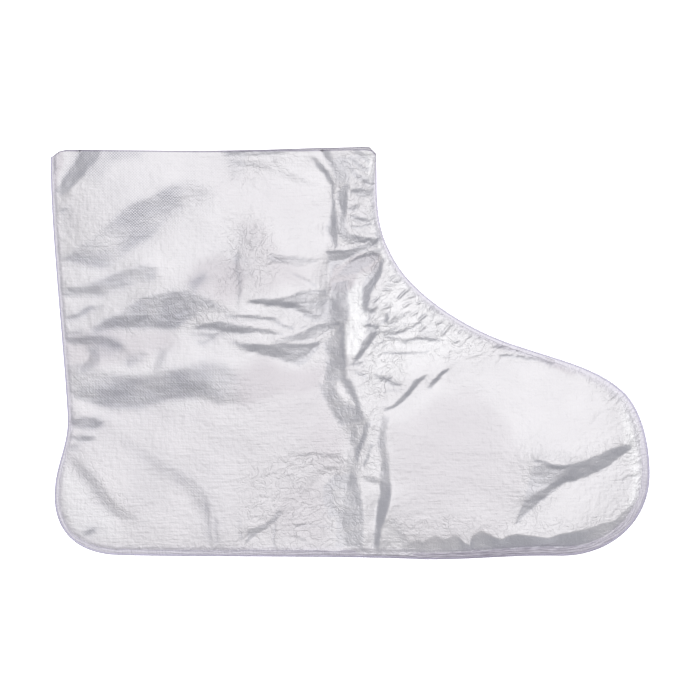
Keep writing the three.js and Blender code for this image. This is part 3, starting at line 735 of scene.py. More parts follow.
# %% Wrinkles of the instep
INSTEP_WRINKLES = [
    # one end, other end, width, height
    ((26, 47), (31, 52), 1.3, 0.8), ((31, 34), (40, 43), 1.4, 0.9),
    ((18, 34), (23, 40), 1.3, 0.7), ((38, 36), (45, 38), 1.8, 0.6),
    ((44, 31), (48, 34), 1.2, 0.7), ((28, 48), (34, 47), 1.3, 0.6),
    ((20, 42), (29, 42), 1.3, 0.6), ((22, 46), (31, 44), 1.3, 0.5),
    ((14, 32), (20, 36), 1.2, 0.7), ((20, 29), (30, 31), 1.3, 0.6),
    ((46, 21), (52, 26), 1.4, 0.8), ((52, 26), (58, 32), 1.2, 0.8),
    ((54, 23), (57, 28), 1.1, 0.6), ((57, 25), (61, 29), 1.1, 0.6),
    ((56, 19), (63, 21), 1.7, 0.7), ((61, 11), (65, 17), 1.8, 0.8),
    ((64, 16), (69, 19), 1.6, 0.7), ((68, 14), (72, 18), 1.2, 0.5),
    ((72, 11), (76, 16), 1.2, 0.6), ((75, 11), (79, 15), 1.1, 0.5),
    ((77, 9), (82, 12), 1.2, 0.5), ((68, 6), (74, 8), 1.5, 0.7),
    ((65, 1), (74, 1), 1.1, 0.4), ((60, -4), (69, -3), 1.3, 0.4),
    ((47, 14), (51, 19), 1.6, 0.6), ((75, -3), (90, 0), 1.6, 0.3),
    ((85, 5), (89, 9), 1.4, 0.4), ((34, 29), (42, 34), 1.6, 0.5),
    ((40, 24), (47, 28), 1.6, 0.5), ((24, 54), (29, 56), 1.2, 0.4),
]
print("instep wrinkles:", len(INSTEP_WRINKLES))

# %% Scattered creases
SCATTERED = [
    # name, centre, half width and height, count, direction, spread, length, width, rise
    ("knot", (17, 6), (11, 24), 70, 70, 70, 8, 1.6, 0.42),
    ("below the knot", (19, -40), (8, 24), 30, 80, 60, 6, 1.3, 0.25),
    ("upper instep", (42, 32), (26, 18), 40, 50, 14, 8, 1.5, 0.35),
    ("lower instep", (80, 8), (26, 8), 30, 45, 20, 6, 1.3, 0.25),
    ("front of leg", (8, 95), (9, 36), 40, 5, 35, 7, 1.5, 0.35),
    ("bright strip", (4, 20), (4, 26), 10, 85, 12, 9, 1.2, 0.20),
    ("sole, flat wrinkles", (-32, -95), (32, 28), 90, 0, 10, 12, 1.4, 0.22),
    ("foot, faint threads", (75, -65), (48, 48), 70, -2, 7, 22, 1.2, 0.09),
    ("foot, faint uprights", (75, -65), (48, 48), 30, 90, 6, 14, 1.3, 0.08),
    ("leg, upright threads", (-66, 92), (18, 42), 70, 90, 5, 18, 1.5, 0.13),
    ("leg, crumpled patch", (-63, 79), (7, 8), 26, 20, 80, 5, 1.3, 0.30),
    ("leg, rising creases", (-80, 55), (22, 14), 34, 58, 9, 12, 1.6, 0.26),
    ("leg, above the wedge", (-36, 50), (20, 12), 24, 20, 60, 7, 1.4, 0.20),
    ("upper band, crumpled", (-118, 98), (18, 12), 46, 15, 30, 6, 1.4, 0.22),
    ("lower band, crumpled", (-112, 30), (26, 10), 60, 12, 28, 6, 1.4, 0.26),
    ("sole line puckers", (-20, -127), (60, 3), 40, 90, 22, 5, 1.1, 0.30),
    ("toe, small folds", (183, -80), (6, 36), 36, 0, 35, 6, 1.3, 0.17),
    ("toe, upper folds", (176, -32), (10, 8), 26, -30, 40, 6, 1.3, 0.17),
    ("back of leg", (-186, 30), (6, 90), 50, 0, 25, 6, 1.4, 0.22),
    ("whole boot, faint", (0, -20), (200, 150), 160, 30, 90, 16, 1.8, 0.08),
]


def scatter(height, x, y, chance):
    """Adds creases at random places, turns and sizes to each part of the table."""
    for _, (cx, cy), (half_x, half_y), count, turn, spread, length, width, rise in SCATTERED:
        for _ in range(count):
            px = cx + half_x * chance.uniform(-1, 1)
            py = cy + half_y * chance.uniform(-1, 1)
            angle = math.radians(turn + spread * chance.normal() * 0.6)
            reach = 0.5 * length * chance.uniform(0.5, 1.5)
            ex, ey = reach * math.cos(angle), reach * math.sin(angle)
            sign = 1 if chance.random() < 0.6 else -1
            add_crease(height, x, y, (px - ex, py - ey), (px + ex, py + ey),
                       width * chance.uniform(0.7, 1.3), sign * rise * chance.uniform(0.4, 1.4),
                       0.12 * reach * chance.normal())


print("scattered creases:", sum(row[3] for row in SCATTERED))


# %% Puckers along the seam
PUCKERS = {
    # stretch of edge: spacing, reach, width, rise
    "back of leg": (3.6, 6, 1.2, 0.30),
    "back of heel": (3.4, 5, 1.1, 0.30),
    "heel corner": (4.0, 4, 1.2, 0.25),
    "rear of sole": (3.6, 5, 1.1, 0.30),
    "front of sole": (4.5, 4, 1.1, 0.20),
    "under the toe": (3.2, 6, 1.1, 0.32),
    "top of toe": (2.8, 8, 1.1, 0.30),
    "lower instep": (3.2, 7, 1.1, 0.34),
    "upper instep": (3.0, 9, 1.2, 0.42),
    "bend of ankle": (3.0, 8, 1.1, 0.42),
    "front of leg": (3.4, 7, 1.2, 0.24),
}


def pucker(height, x, y, chance):
    """Adds short creases that run inwards from the seam, at uneven spacings."""
    for index, (name, *_) in enumerate(EDGE_CURVES):
        spacing, reach, width, rise = PUCKERS[name]
        first, last = run_length[index * SAMPLES], run_length[(index + 1) * SAMPLES]
        for at in np.arange(first, last, spacing):
            u = (at + spacing * chance.uniform(-0.4, 0.4)) / EDGE_LENGTH
            lean = chance.normal() * 0.22
            inner = edge_band(u) + reach * (0.35 + chance.exponential(0.5))
            sx, sy = inside_edge(u, 0.7 * edge_band(u))
            ex, ey = inside_edge(u + lean * inner / EDGE_LENGTH, inner)
            add_crease(height, x, y, (sx, sy), (ex, ey), width * chance.uniform(0.7, 1.5),
                       rise * chance.uniform(0.3, 1.5), 0.3 * chance.normal(), 0.6)


# %% [markdown]
# ## The height of the near panel
#
# The film lies almost flat with a little air under it. Its height is a sum of simple
# parts: a shoulder where it comes out of the seam, a low dome, a few swellings, the step
# along the front of the sole, the folds, and last the small creases. A sum is easy to
# tune, because each part can be changed alone. The sum lies several millimetres lower
# than the panel of the measured model, which leaves more room inside. That is a known
# fault of this dressing.

# %% Steps and shoulders
SOLE_CREST = [(30, -131), (38, -129), (41, -126), (45, -124), (49, -126), (53, -123),
              (57, -121), (63, -124), (69, -121), (72, -121), (76, -126), (80, -128),
              (82, -121), (87, -118), (92, -120), (96, -122), (101, -124), (106, -121),
              (111, -120), (118, -121), (126, -122), (132, -123), (140, -120),
              (150, -118), (160, -116), (168, -113), (175, -112), (180, -108),
              (184, -104), (188, -100), (192, -94)]
STEP_RISE = 6.4
STEP_END = 15
LEAST_CREST = 1.5
TOE_BOX_Y, TOE_BOX_DEPTH = -122, 62
WALL_SHADE = 1.4
SHOULDER_REACH = 8


def smooth(value, start, end):
    """An eased step from 0 at start to 1 at end."""
    t = np.clip((value - start) / (end - start), 0, 1)
    return t * t * (3 - 2 * t)


def sole_step(x, y, along, away, band):
    """The steep step along the front of the sole, in mm, and how much painted shade its wall
    gets.
    """
    crest_x, crest_y = np.array(SOLE_CREST, float).T
    crest_along, crest_away = seam_address(crest_x, crest_y)
    crest = np.maximum(np.interp(along, crest_along, crest_away) - band, LEAST_CREST)
    ends = smooth(along, crest_along[0], crest_along[0] + STEP_END) * smooth(
        -along, -crest_along[-1], STEP_END - crest_along[-1])
    climb = 1 - ends * (1 - np.clip((away - band) / crest, 0, 1))
    toe_box = smooth(x, -10, 150) * smooth(-x, -202, -130) * np.exp(
        -(((y - TOE_BOX_Y) / TOE_BOX_DEPTH) ** 2))
    wall = WALL_SHADE * ends * (1 - smooth(climb, 0.75, 1)) * smooth(toe_box, 0.35, 0.95)
    return STEP_RISE * climb * toe_box, wall


def seam_shoulder(away, band):
    """How the film rises out of the seam, from 0 to 1 mm."""
    emerge = smooth(away - band, -0.3 * band, 1.6)
    return 0.4 * emerge + 0.6 * (1 - np.exp(-np.clip(away - band, 0, None) / SHOULDER_REACH))


print("crest of the sole step, points:", len(SOLE_CREST), "rise, mm:", STEP_RISE)

# %% Dome and swellings
DOME = 2.6
DOME_REACH = 70
SWELLINGS = [
    # name, centre, reach, height
    ("behind the ankle", (-50, -20), 90, 5.0),
    ("ankle", (0, -10), 55, 1.0),
    ("middle of leg", (-90, 60), 60, -0.4),
    ("mouth", (-90, 140), 40, -0.8),
]


def swelling(x, y, away):
    """The low dome of trapped air with its swellings, in mm."""
    body = np.full_like(x, DOME)
    for _, (cx, cy), spread, height in SWELLINGS:
        body += height * np.exp(-((x - cx) ** 2 + (y - cy) ** 2) / spread**2)
    swell = 1 - np.exp(-away / DOME_REACH)
    return swell * body


print("dome, mm:", DOME, "swellings:", len(SWELLINGS))

# %% All the folds as one surface
BLUR_SCALE = 0.55
FREE_HOLD, EDGE_HOLD = 0.0002, 0.3
HOLD_REACH = 1.2
MOUTH_FREE_Y = 128


def painted_surface():
    """Paints every facet, then finds the surface, in mm, on the painting grid."""
    x, y = paint_x, paint_y
    warp_x = x + 0.7 * rough(x, y, 15, 1) + 0.45 * rough(x, y, 4, 2)
    warp_y = y + 0.7 * rough(x, y, 15, 5) + 0.55 * rough(x, y, 4, 6)
    layers = {}
    for _, high, low, slope, blur in LEG_FOLDS + ANKLE_FOLDS + FOOT_FOLDS:
        layer = layers.setdefault(blur, np.zeros((3, *x.shape)))
        paint_facet(layer, warp_x, warp_y, high, low, slope)
    slope_x, slope_y, shade = sum(np.array([soften(part, BLUR_SCALE * blur) for part in layer])
                                  for blur, layer in layers.items())
    vary = 1 + 0.35 * rough(x, y, 3.5, 11, 2) + 0.25 * rough(x, y, 12, 12)
    slope_x, slope_y = slope_x * vary, slope_y * vary
    _, away = seam_address(x, y)
    outside = ~inside_polygon(x, y, run[::4])
    held = np.where(outside & (y < MOUTH_FREE_Y), 1, np.exp(-away / HOLD_REACH))
    return surface_from_slopes(slope_x, slope_y, FREE_HOLD + EDGE_HOLD * held), shade


# %% Patches and steepness
PATCH_WANDER = 3.0


def patches(table, x, y):
    """Soft patches with uneven borders, -1 to 1, read at any points."""
    warp_x = paint_x + PATCH_WANDER * rough(paint_x, paint_y, 16, 71)
    warp_y = paint_y + PATCH_WANDER * rough(paint_x, paint_y, 16, 72)
    amount = sum(depth * soften(inside_polygon(warp_x, warp_y, np.array(outline, float)), blur)
                 for _, outline, depth, blur in table)
    return np.clip(read_grid(amount, x, y), -1, 1)


def steepness(x, y, z):
    """Rise over run of a grid of points, from the two directions of the grid."""
    down, over = (np.stack([np.gradient(a, axis=k) for a in (x, y, z)]) for k in (0, 1))
    normal = np.cross(down, over, axis=0)
    return np.hypot(normal[0], normal[1]) / np.maximum(np.abs(normal[2]), 1e-9)


# %% All the small creases
def near_creases(x, y):
    """Wrinkles of the instep, scattered creases and puckers of the near panel, in mm."""
    warp_x = x + 0.7 * rough(x, y, 15, 1)
    warp_y = y + 0.7 * rough(x, y, 15, 5)
    creases = np.zeros_like(x)
    for start, end, width, rise in INSTEP_WRINKLES:
        add_crease(creases, warp_x, warp_y, start, end, width, 1.5 * rise, 0.4)
    chance = np.random.default_rng(7)
    scatter(creases, warp_x, warp_y, chance)
    pucker(creases, x, y, chance)
    print("small creases, mm:", creases.min().round(2), creases.max().round(2))
    return creases


# %% Height of the near panel
WALL_Z = 0.85
LEAST_RISE = 0.05
SETTLE_REACH = 6
DOTS_BEGIN, DOTS_FULL = 62, 100


def near_height(x, y):
    """The near panel's upper face, in mm: its height, where each point lies from the
    seam, how strongly its dots are raised and carry painted shade, and how much
    painted shade its folds get."""
    along, away = seam_address(x, y)
    band = edge_band(along / EDGE_LENGTH)
    step, wall = sole_step(x, y, along, away, band)
    surface, shade = painted_surface()
    folds = read_grid(surface, x, y)
    print("folds, mm:", folds.min().round(2), folds.max().round(2))
    # How strongly the dots are raised, and how much painted shade they get in the colour: both
    # grow with the shade painted with the folds.
    dot_relief_and_shade = smooth(-x, DOTS_BEGIN, DOTS_FULL) * np.clip(
        0.12 + 4.0 * read_grid(soften(shade, 2.2), x, y), 0, 1)
    uneven = shade * (1 + 0.5 * rough(paint_x, paint_y, 5, 13, 3))
    shaded = np.maximum(smooth(read_grid(uneven, x, y), 0.04, 0.5), wall)
    crumple = 0.30 * rough(x, y, 40, 31) + 0.16 * rough(x, y, 16, 32)
    settle = np.clip((away - 0.4 * band) / SETTLE_REACH, 0, 1)
    height = (step + seam_shoulder(away, band) + swelling(x, y, away) + folds
              + settle * crumple + np.clip(settle * 4, 0, 1) * near_creases(x, y))
    return WALL_Z + np.maximum(height, LEAST_RISE), along, away - band, dot_relief_and_shade, shaded


# %% [markdown]
# ## A film with two faces
#
# A single sheet of faces has no thickness, so it isn't a solid thing. The near panel is
# a fine grid for the upper face and a much coarser one under it, and a strip of faces
# bridges their rims. The lower face can be coarse because it is hidden. Each of its
# points takes the lowest height nearby, less the film's thickness, so that it stays
# under the upper face even in a fold. The film is about a quarter of a millimetre thick
# where it is thinnest, which is still thicker than real film.

# %% Grids of points
def fill_grid(bm, rows, columns):
    """A square grid of bmesh vertices and their row and column numbers."""
    made = bmesh.ops.create_grid(bm, x_segments=columns, y_segments=rows, size=0.5)
    corners = np.array([v.co[:2] for v in made["verts"]])
    column = np.rint((corners[:, 0] + 0.5) * columns).astype(int)
    row = np.rint((0.5 - corners[:, 1]) * rows).astype(int)
    return made["verts"], row, column


def place(verts, row, column, x, y, z):
    """Moves the grid's vertices to their places, given in mm."""
    for vert, r, c in zip(verts, row, column):
        vert.co = (x[r, c] * MM, y[r, c] * MM, z[r, c] * MM)


def link_piece(name, bm):
    """Turns a bmesh into an object at the origin, and prints what it made."""
    print(name, "open edges:", sum(not e.is_manifold for e in bm.edges),
          "triangles:", sum(len(f.verts) - 2 for f in bm.faces))
    mesh = bpy.data.meshes.new(name)
    bm.to_mesh(mesh)
    bm.free()
    piece = bpy.data.objects.new(name, mesh)
    bpy.context.collection.objects.link(piece)
    return piece


# %% Places on the near panel
ROWS, COLUMNS = 560, 168
row_at, column_at = lattice(ROWS, COLUMNS)
near_x, near_y = panel_plan(row_at, column_at, 1)
near_z, near_along, near_gap, near_dot_relief_and_shade, near_shaded = near_height(near_x, near_y)
print("near panel heights, mm:", near_z.min().round(2), near_z.max().round(2))

# Painted shade for the colour, from how steeply the film leans and from the shade painted with
# the folds and the sole's wall.
near_painted_shade = np.clip(0.7 * smooth(steepness(near_x, near_y, near_z), 0.15, 0.8)
                     + 0.5 * near_shaded, 0, 1)
near_cut = np.interp(near_x, MOUTH_EDGE[:, 0], MOUTH_EDGE[:, 1]) - near_y


# %% A closed sheet
def lowest_near(z, reach):
    """The lowest height within reach steps of each place of a grid, rows and columns."""
    for axis in (0, 1):
        padded = np.pad(z, [(reach, reach) if k == axis else (0, 0) for k in (0, 1)], "edge")
        z = np.min([np.take(padded, range(k, k + z.shape[axis]), axis)
                    for k in range(2 * reach + 1)], axis=0)
    return z


def closed_sheet(name, x, y, z, lower_z, step, tags):
    """A film with an upper face, a coarser lower face and a rim that joins them."""
    bm = bmesh.new()
    upper, row, column = fill_grid(bm, x.shape[0] - 1, x.shape[1] - 1)
    place(upper, row, column, x, y, z)
    lower, low_row, low_column = fill_grid(bm, (x.shape[0] - 1) // step,
                                           (x.shape[1] - 1) // step)
    place(lower, low_row * step, low_column * step, x, y, lower_z)
    for face in bm.faces:
        face.smooth = True
    bmesh.ops.bridge_loops(bm, edges=[e for e in bm.edges if e.is_boundary])
    bmesh.ops.recalc_face_normals(bm, faces=bm.faces)
    piece = link_piece(name, bm)
    all_rows = np.concatenate([row, low_row * step])
    all_columns = np.concatenate([column, low_column * step])
    for tag, values in tags.items():
        layer = piece.data.attributes.new(tag, "FLOAT", "POINT")
        layer.data.foreach_set("value", values[all_rows, all_columns].astype(np.float32))
    return piece


# %% Near panel
LINING_STEP = 7
FILM_WALL = 0.25
LINING_FLOOR = 0.62
lining_z = np.maximum(lowest_near(near_z, LINING_STEP) - FILM_WALL, LINING_FLOOR)
rim = np.ones_like(near_z, bool)
rim[1:-1, 1:-1] = False
lining_z = np.where(rim, near_z - FILM_WALL, lining_z)
# Three tags carry painted shade and light into the colour: the steep one carries painted shade,
# the patch one carries painted shade and light, and the embossed one carries painted shade on the
# dots as well as their relief.
near = closed_sheet("film_near_panel", near_x, near_y, near_z, lining_z, LINING_STEP, {
    "seam_run": near_along, "seam_gap": near_gap, "cut_gap": near_cut,
    "embossed": near_dot_relief_and_shade, "steep": near_painted_shade,
    "painted_tone": patches(PAINTED_TONE_PATCHES, near_x, near_y),
    "crumpled": patches(CRUMPLES, near_x, near_y)})

# %% [markdown]
# ## The far panel
#
# The second panel has the same outline and lies flat under the first. Only a strip along
# the mouth shows, so it takes the same grid at a coarser step, with a slight waviness
# and no folds. What it looks like underneath is a guess.

# %% Far panel
FAR_ROWS, FAR_COLUMNS = 110, 36
FAR_Z = 0.3
FAR_WAVE = 0.12
far_row, far_column = lattice(FAR_ROWS, FAR_COLUMNS)
far_x, far_y = panel_plan(far_row, far_column, 2)
far_along, far_away = seam_address(far_x, far_y)
far_gap = far_away - edge_band(far_along / EDGE_LENGTH)
far_z = FAR_Z + FAR_WAVE * np.clip(far_away / 20, 0, 1) * (1 + rough(far_x, far_y, 24, 51))
far_cut = np.interp(far_x, MOUTH_EDGE[:, 0], MOUTH_EDGE[:, 2]) - far_y
far = closed_sheet("film_far_panel", far_x, far_y, far_z, far_z - FILM_WALL, 1, {
    "seam_run": far_along, "seam_gap": far_gap, "cut_gap": far_cut})

# %% [markdown]
# ## The rolled seam
#
# At the edge both films look rolled into a thin cord, with a flat flange inside it, and
# gathered into ribs. How they are folded inside is a guess, so only the outer face of
# the seam is made, closed below. It could be a tube along a curve, but the
# section isn't round and its width changes, so it is a long grid instead: one column for
# each place around the section, one row for each step along the edge. The last column
# meets the first, where their doubles are merged, and the two ends are filled.

# %% How the seam changes along the edge
SEAM_FINISH = {
    # stretch of edge: outer roll's width, gathering, how lavender, how mauve, inner painted shade
    # line
    "back of leg": (0.9, 0.22, 0.9, 0.05, 0.2),
    "back of heel": (1.0, 0.25, 0.9, 0.15, 0.5),
    "heel corner": (1.3, 0.30, 0.8, 0.25, 0.9),
    "rear of sole": (1.4, 0.35, 0.8, 0.60, 0.8),
    "front of sole": (1.4, 0.15, 0.9, 1.15, 0.3),
    "under the toe": (1.6, 0.25, 0.8, 0.75, 0.2),
    "top of toe": (1.6, 0.35, 0.7, 0.05, 0.2),
    "lower instep": (1.2, 0.25, 0.6, 0.00, 0.5),
    "upper instep": (1.1, 0.25, 0.5, 0.00, 0.2),
    "bend of ankle": (1.0, 0.25, 0.45, 0.00, 0.1),
    "front of leg": (1.0, 0.25, 0.45, 0.00, 0.0),
}
middles = (np.arange(len(EDGE_CURVES)) + 0.5) * SAMPLES
finish_at = np.interp(middles, np.arange(len(run_u)), run_u)


def seam_finish(u):
    """The five measures of the table at fractions u of the edge, blended."""
    rows = np.array([SEAM_FINISH[name] for name, *_ in EDGE_CURVES])
    return [np.interp(u, finish_at, rows[:, k]) for k in range(5)]


print("stretches of the seam:", len(SEAM_FINISH))

# %% Section of the seam at every step
SEAM_STEPS, SEAM_SIDES = 2400, 20
TOP_SIDES = 15
ROLL_RISE, GATHER_RISE = 0.45, 0.28
GATHER_PITCH, STREAK_PITCH = 2.3, 1.7
SEAM_TOP, RIM_Z, LEAST_TOP, SEAM_BOTTOM = 0.8, 0.35, 0.3, 0.02
u = np.linspace(0, 1, SEAM_STEPS + 1)
side = np.arange(SEAM_SIDES + 1)
u2, side2 = np.meshgrid(u, side, indexing="ij")
band2 = edge_band(u2)
along2 = u2 * EDGE_LENGTH
roll2, gather2, lavender2, mauve2, inner_shade2 = seam_finish(u2)
across2 = np.where(side2 <= TOP_SIDES, side2 / TOP_SIDES,
                   (SEAM_SIDES - side2) / (SEAM_SIDES - TOP_SIDES))
wobble = 1 + 0.14 * rough(along2, 0 * u2, 6, 64) * across2
inset2 = band2 * across2 * wobble
waves = (np.sin(2 * np.pi * (along2 / GATHER_PITCH + 0.6 * rough(along2, 0 * u2, 8, 61)))
         * (0.6 + 0.6 * rough(along2, inset2, 7, 62))
         + 0.8 * rough(along2, 0.5 * inset2, 1.4, 65))
roll_top = ROLL_RISE * np.sin(np.pi * np.clip(inset2 / roll2, 0, 1)) ** 0.7
flange = smooth(inset2 / roll2, 0.8, 1.2)
streaks = 0.16 * mauve2 * np.sin(
    2 * np.pi * (inset2 / STREAK_PITCH + 0.5 * rough(along2, inset2, 14, 66)))
ribs = (GATHER_RISE * gather2 * waves * (0.4 + 0.6 * flange)
        * np.sin(np.pi * np.clip(across2, 0, 1)) ** 0.5)
top_z = SEAM_TOP + roll_top + flange * (0.35 + 0.25 * across2 + streaks) + ribs
edge_drop = smooth(1 - across2, 0, 0.12)
top_z = RIM_Z + (top_z - RIM_Z) * edge_drop * smooth(inset2, -0.05, 0.25)
seam_z = np.where(side2 <= TOP_SIDES, np.maximum(top_z, LEAST_TOP), SEAM_BOTTOM)
seam_x, seam_y = inside_edge(u2, inset2)
for part in (seam_x, seam_y, seam_z):
    part[:, -1] = part[:, 0]
print("seam heights, mm:", seam_z.min().round(2), seam_z.max().round(2))

# %% Building the seam
SEAM_TAGS = ("seam_run", "seam_inset", "lavender", "mauve", "inner_shade_line")
bm = bmesh.new()
for name in SEAM_TAGS:
    bm.verts.layers.float.new(name)
verts, row, column = fill_grid(bm, SEAM_STEPS, SEAM_SIDES)
place(verts, row, column, seam_x, seam_y, seam_z)
tags = [bm.verts.layers.float[name] for name in SEAM_TAGS]
lined = lavender2 * (1 - smooth(inset2 / roll2, 0.75, 1.25))
# Where the painted shade line along the seam's inner side lies.
inner = inner_shade2 * smooth(across2, 0.72, 0.88)
for vert, r, c in zip(verts, row, column):
    for tag, values in zip(tags, (along2, inset2, lined, mauve2, inner)):
        vert[tag] = values[r, c]
bmesh.ops.remove_doubles(bm, verts=bm.verts, dist=1e-6)
bmesh.ops.holes_fill(bm, edges=[e for e in bm.edges if e.is_boundary], sides=0)
bmesh.ops.recalc_face_normals(bm, faces=bm.faces)
seam = link_piece("film_edge_seam", bm)
seam.data.shade_smooth()

# %% [markdown]
# ## Shader maths
#
# A finish is a graph of nodes, and most of them only add and multiply. The small class
# below wraps a socket, so that such maths is written as a line of Python and adds its
# own Math nodes. Every other node comes from its one method, which takes the node's
# type, its settings and its sockets.

# %% Wires between nodes
class Wire:
    """A socket that can be added, multiplied and so on, as a number can."""

    def __init__(self, tree, socket):
        self.tree, self.socket = tree, socket

    def node(self, kind, settings=None, sockets=None, out=0):
        made = self.tree.nodes.new(kind)
        for key, value in (settings or {}).items():
            setattr(made, key, value)
        for key, value in (sockets or {}).items():
            self.plug(made.inputs[key], value)
        return Wire(self.tree, made.outputs[out])

    def plug(self, socket, value):
        if isinstance(value, Wire):
            self.tree.links.new(value.socket, socket)
        else:
            socket.default_value = value

    def maths(self, operation, *terms):
        return self.node("ShaderNodeMath", {"operation": operation}, dict(enumerate(terms)))

    def __add__(self, other): return self.maths("ADD", self, other)
    def __radd__(self, other): return self.maths("ADD", other, self)
    def __sub__(self, other): return self.maths("SUBTRACT", self, other)
    def __rsub__(self, other): return self.maths("SUBTRACT", other, self)
    def __mul__(self, other): return self.maths("MULTIPLY", self, other)
    def __rmul__(self, other): return self.maths("MULTIPLY", other, self)
    def __truediv__(self, other): return self.maths("DIVIDE", self, other)
    def cos(self): return self.maths("COSINE", self)
    def size(self): return self.maths("ABSOLUTE", self)
    def squared(self): return self.maths("MULTIPLY", self, self)
    def clamp(self): return self.node("ShaderNodeClamp", {}, {"Value": self})


# %% Helpers for every finish
def new_material(name):
    """A material, a wire that makes its nodes, and its main shader."""
    material = bpy.data.materials.new(name)
    material.use_nodes = True
    tree = material.node_tree
    shader = tree.nodes["Principled BSDF"]
    return material, Wire(tree, None), shader


def mix_colour(wire, factor, first, second):
    return wire.node("ShaderNodeMix", {"data_type": "RGBA"},
                     {0: factor, 6: first, 7: second}, out=2)


def tag_values(wire, tags):
    """The piece's own attributes of those names."""
    return [wire.node("ShaderNodeAttribute", {"attribute_name": tag}, out="Fac")
            for tag in tags]


def grain(wire, place, scale=1.0, detail=2.0, distortion=0.0):
    """Noise from 0 to 1 whose cells are one unit of place, divided by scale."""
    return wire.node("ShaderNodeTexNoise", {}, {
        "Vector": place, "Scale": scale, "Detail": detail, "Distortion": distortion})


def beside_seam(wire, along, inwards):
    """A place given by how far it lies along the seam and inwards from it."""
    return wire.node("ShaderNodeCombineXYZ", {}, {0: along, 1: inwards})


def emboss(wire, shader, relief):
    """Feeds a relief, in mm, to the shader's normal."""
    bump = wire.node("ShaderNodeBump", {}, {
        "Strength": 1.0, "Distance": MM, "Height": relief}, out="Normal")
    wire.plug(shader.inputs["Normal"], bump)


# %% [markdown]
# ## The finish of the film
#
# The film is white with a silky gloss. It has three fine reliefs: embossed dots, threads
# that cross each other, and a crinkle of sharp little creases. All are too fine for the
# mesh, so they are bump. The dots are two crossed waves, clear towards the heel and
# hardly there elsewhere. A crinkle is the thin line where a noise crosses its middle
# value. The colour starts white, and the tags of the mesh then paint shade and light into
# it: greyer patches, shaded folds and the dark between dots in shaded places are painted
# shade, and whiter patches are painted light.

# %% Relief of the film
DOT_PITCH_X, DOT_PITCH_Y = 1.95 * MM, 1.87 * MM


def crease_lines(noise_value):
    """Thin lines where a noise crosses its middle value."""
    return (1 - (noise_value * 2 - 1).size() * 4.0).clamp().squared()


def film_relief(wire, place, dots, patchy, along, gap, dot_relief_and_shade, crumpled):
    """Dots, crossed threads, crinkles and the tucks beside the seam, in mm."""
    threads_x, threads_y = (
        grain(wire, place.node("ShaderNodeMapping", {}, {"Vector": place, "Scale": scale}))
        for scale in ((70, 620, 1), (620, 90, 1)))
    fine = grain(wire, place, 260.0, 3.0)
    tucks = grain(wire, beside_seam(wire, along * 0.75, gap * 0.22))
    near_edge = (1 - gap / 5.0).clamp()
    crinkle = (crease_lines(grain(wire, place, 130.0, 1.0, 1.2))
               + crease_lines(grain(wire, place, 330.0, 1.0, 0.8)) * 0.5)
    return (tucks * near_edge * 0.18 + (dots - 0.1).clamp() * dot_relief_and_shade * (0.03 + 0.05 * patchy)
            + threads_x * 0.19 + threads_y * 0.12 + fine * 0.38
            - crinkle * (0.02 + crumpled * 0.16 + near_edge * 0.05))


# %% Colour of the film
# After the film's own colour, the grey is painted shade and the white is painted light. The shade
# and dot colours are painted shade, and the cut edge colour is partly painted shade.
FILM_COLOUR = (0.79, 0.77, 0.79, 1)
PAINTED_SHADE_GREY = (0.665, 0.632, 0.66, 1)
PAINTED_LIGHT_WHITE = (0.95, 0.94, 0.95, 1)
SHADE_COLOUR = (0.52, 0.525, 0.58, 1)
DOT_SHADE_COLOUR = (0.36, 0.36, 0.42, 1)
EDGE_TINT = (0.74, 0.70, 0.81, 1)
CUT_EDGE_SHADE_COLOUR = (0.33, 0.30, 0.39, 1)


def film_colour(wire, dots, patchy, gap, cut, dot_relief_and_shade, steep, painted_tone):
    """White film with painted shade and painted light from its tags, painted shade
    between its dots, and a cut edge darkened partly by painted shade.
    """
    # Painted shade where the patches are greyer, then painted light where they are whiter.
    colour = mix_colour(wire, painted_tone.clamp(), FILM_COLOUR, PAINTED_SHADE_GREY)
    colour = mix_colour(wire, (0 - painted_tone).clamp(), colour, PAINTED_LIGHT_WHITE)
    # Painted shade on leaning and shaded folds.
    colour = mix_colour(wire, steep * 0.75, colour, SHADE_COLOUR)
    # Painted shade between the raised dots, strongest where the folds have painted shade.
    colour = mix_colour(wire, (0.5 - dots).clamp() * (dot_relief_and_shade + 0.06) * patchy * 1.1, colour,
                        DOT_SHADE_COLOUR)
    colour = mix_colour(wire, (1 - gap / 3.0).clamp() * 0.25, colour, EDGE_TINT)
    # Darker cut edge at the mouth: partly the film's tint seen through its thickness, partly
    # painted shade of the curled edge and of the gap between the panels.
    return mix_colour(wire, (1.5 - cut / 0.8).clamp() * 0.9, colour, CUT_EDGE_SHADE_COLOUR)


# %% Film on both panels
FILM_METALLIC = 0.22
FILM_IOR = 1.5


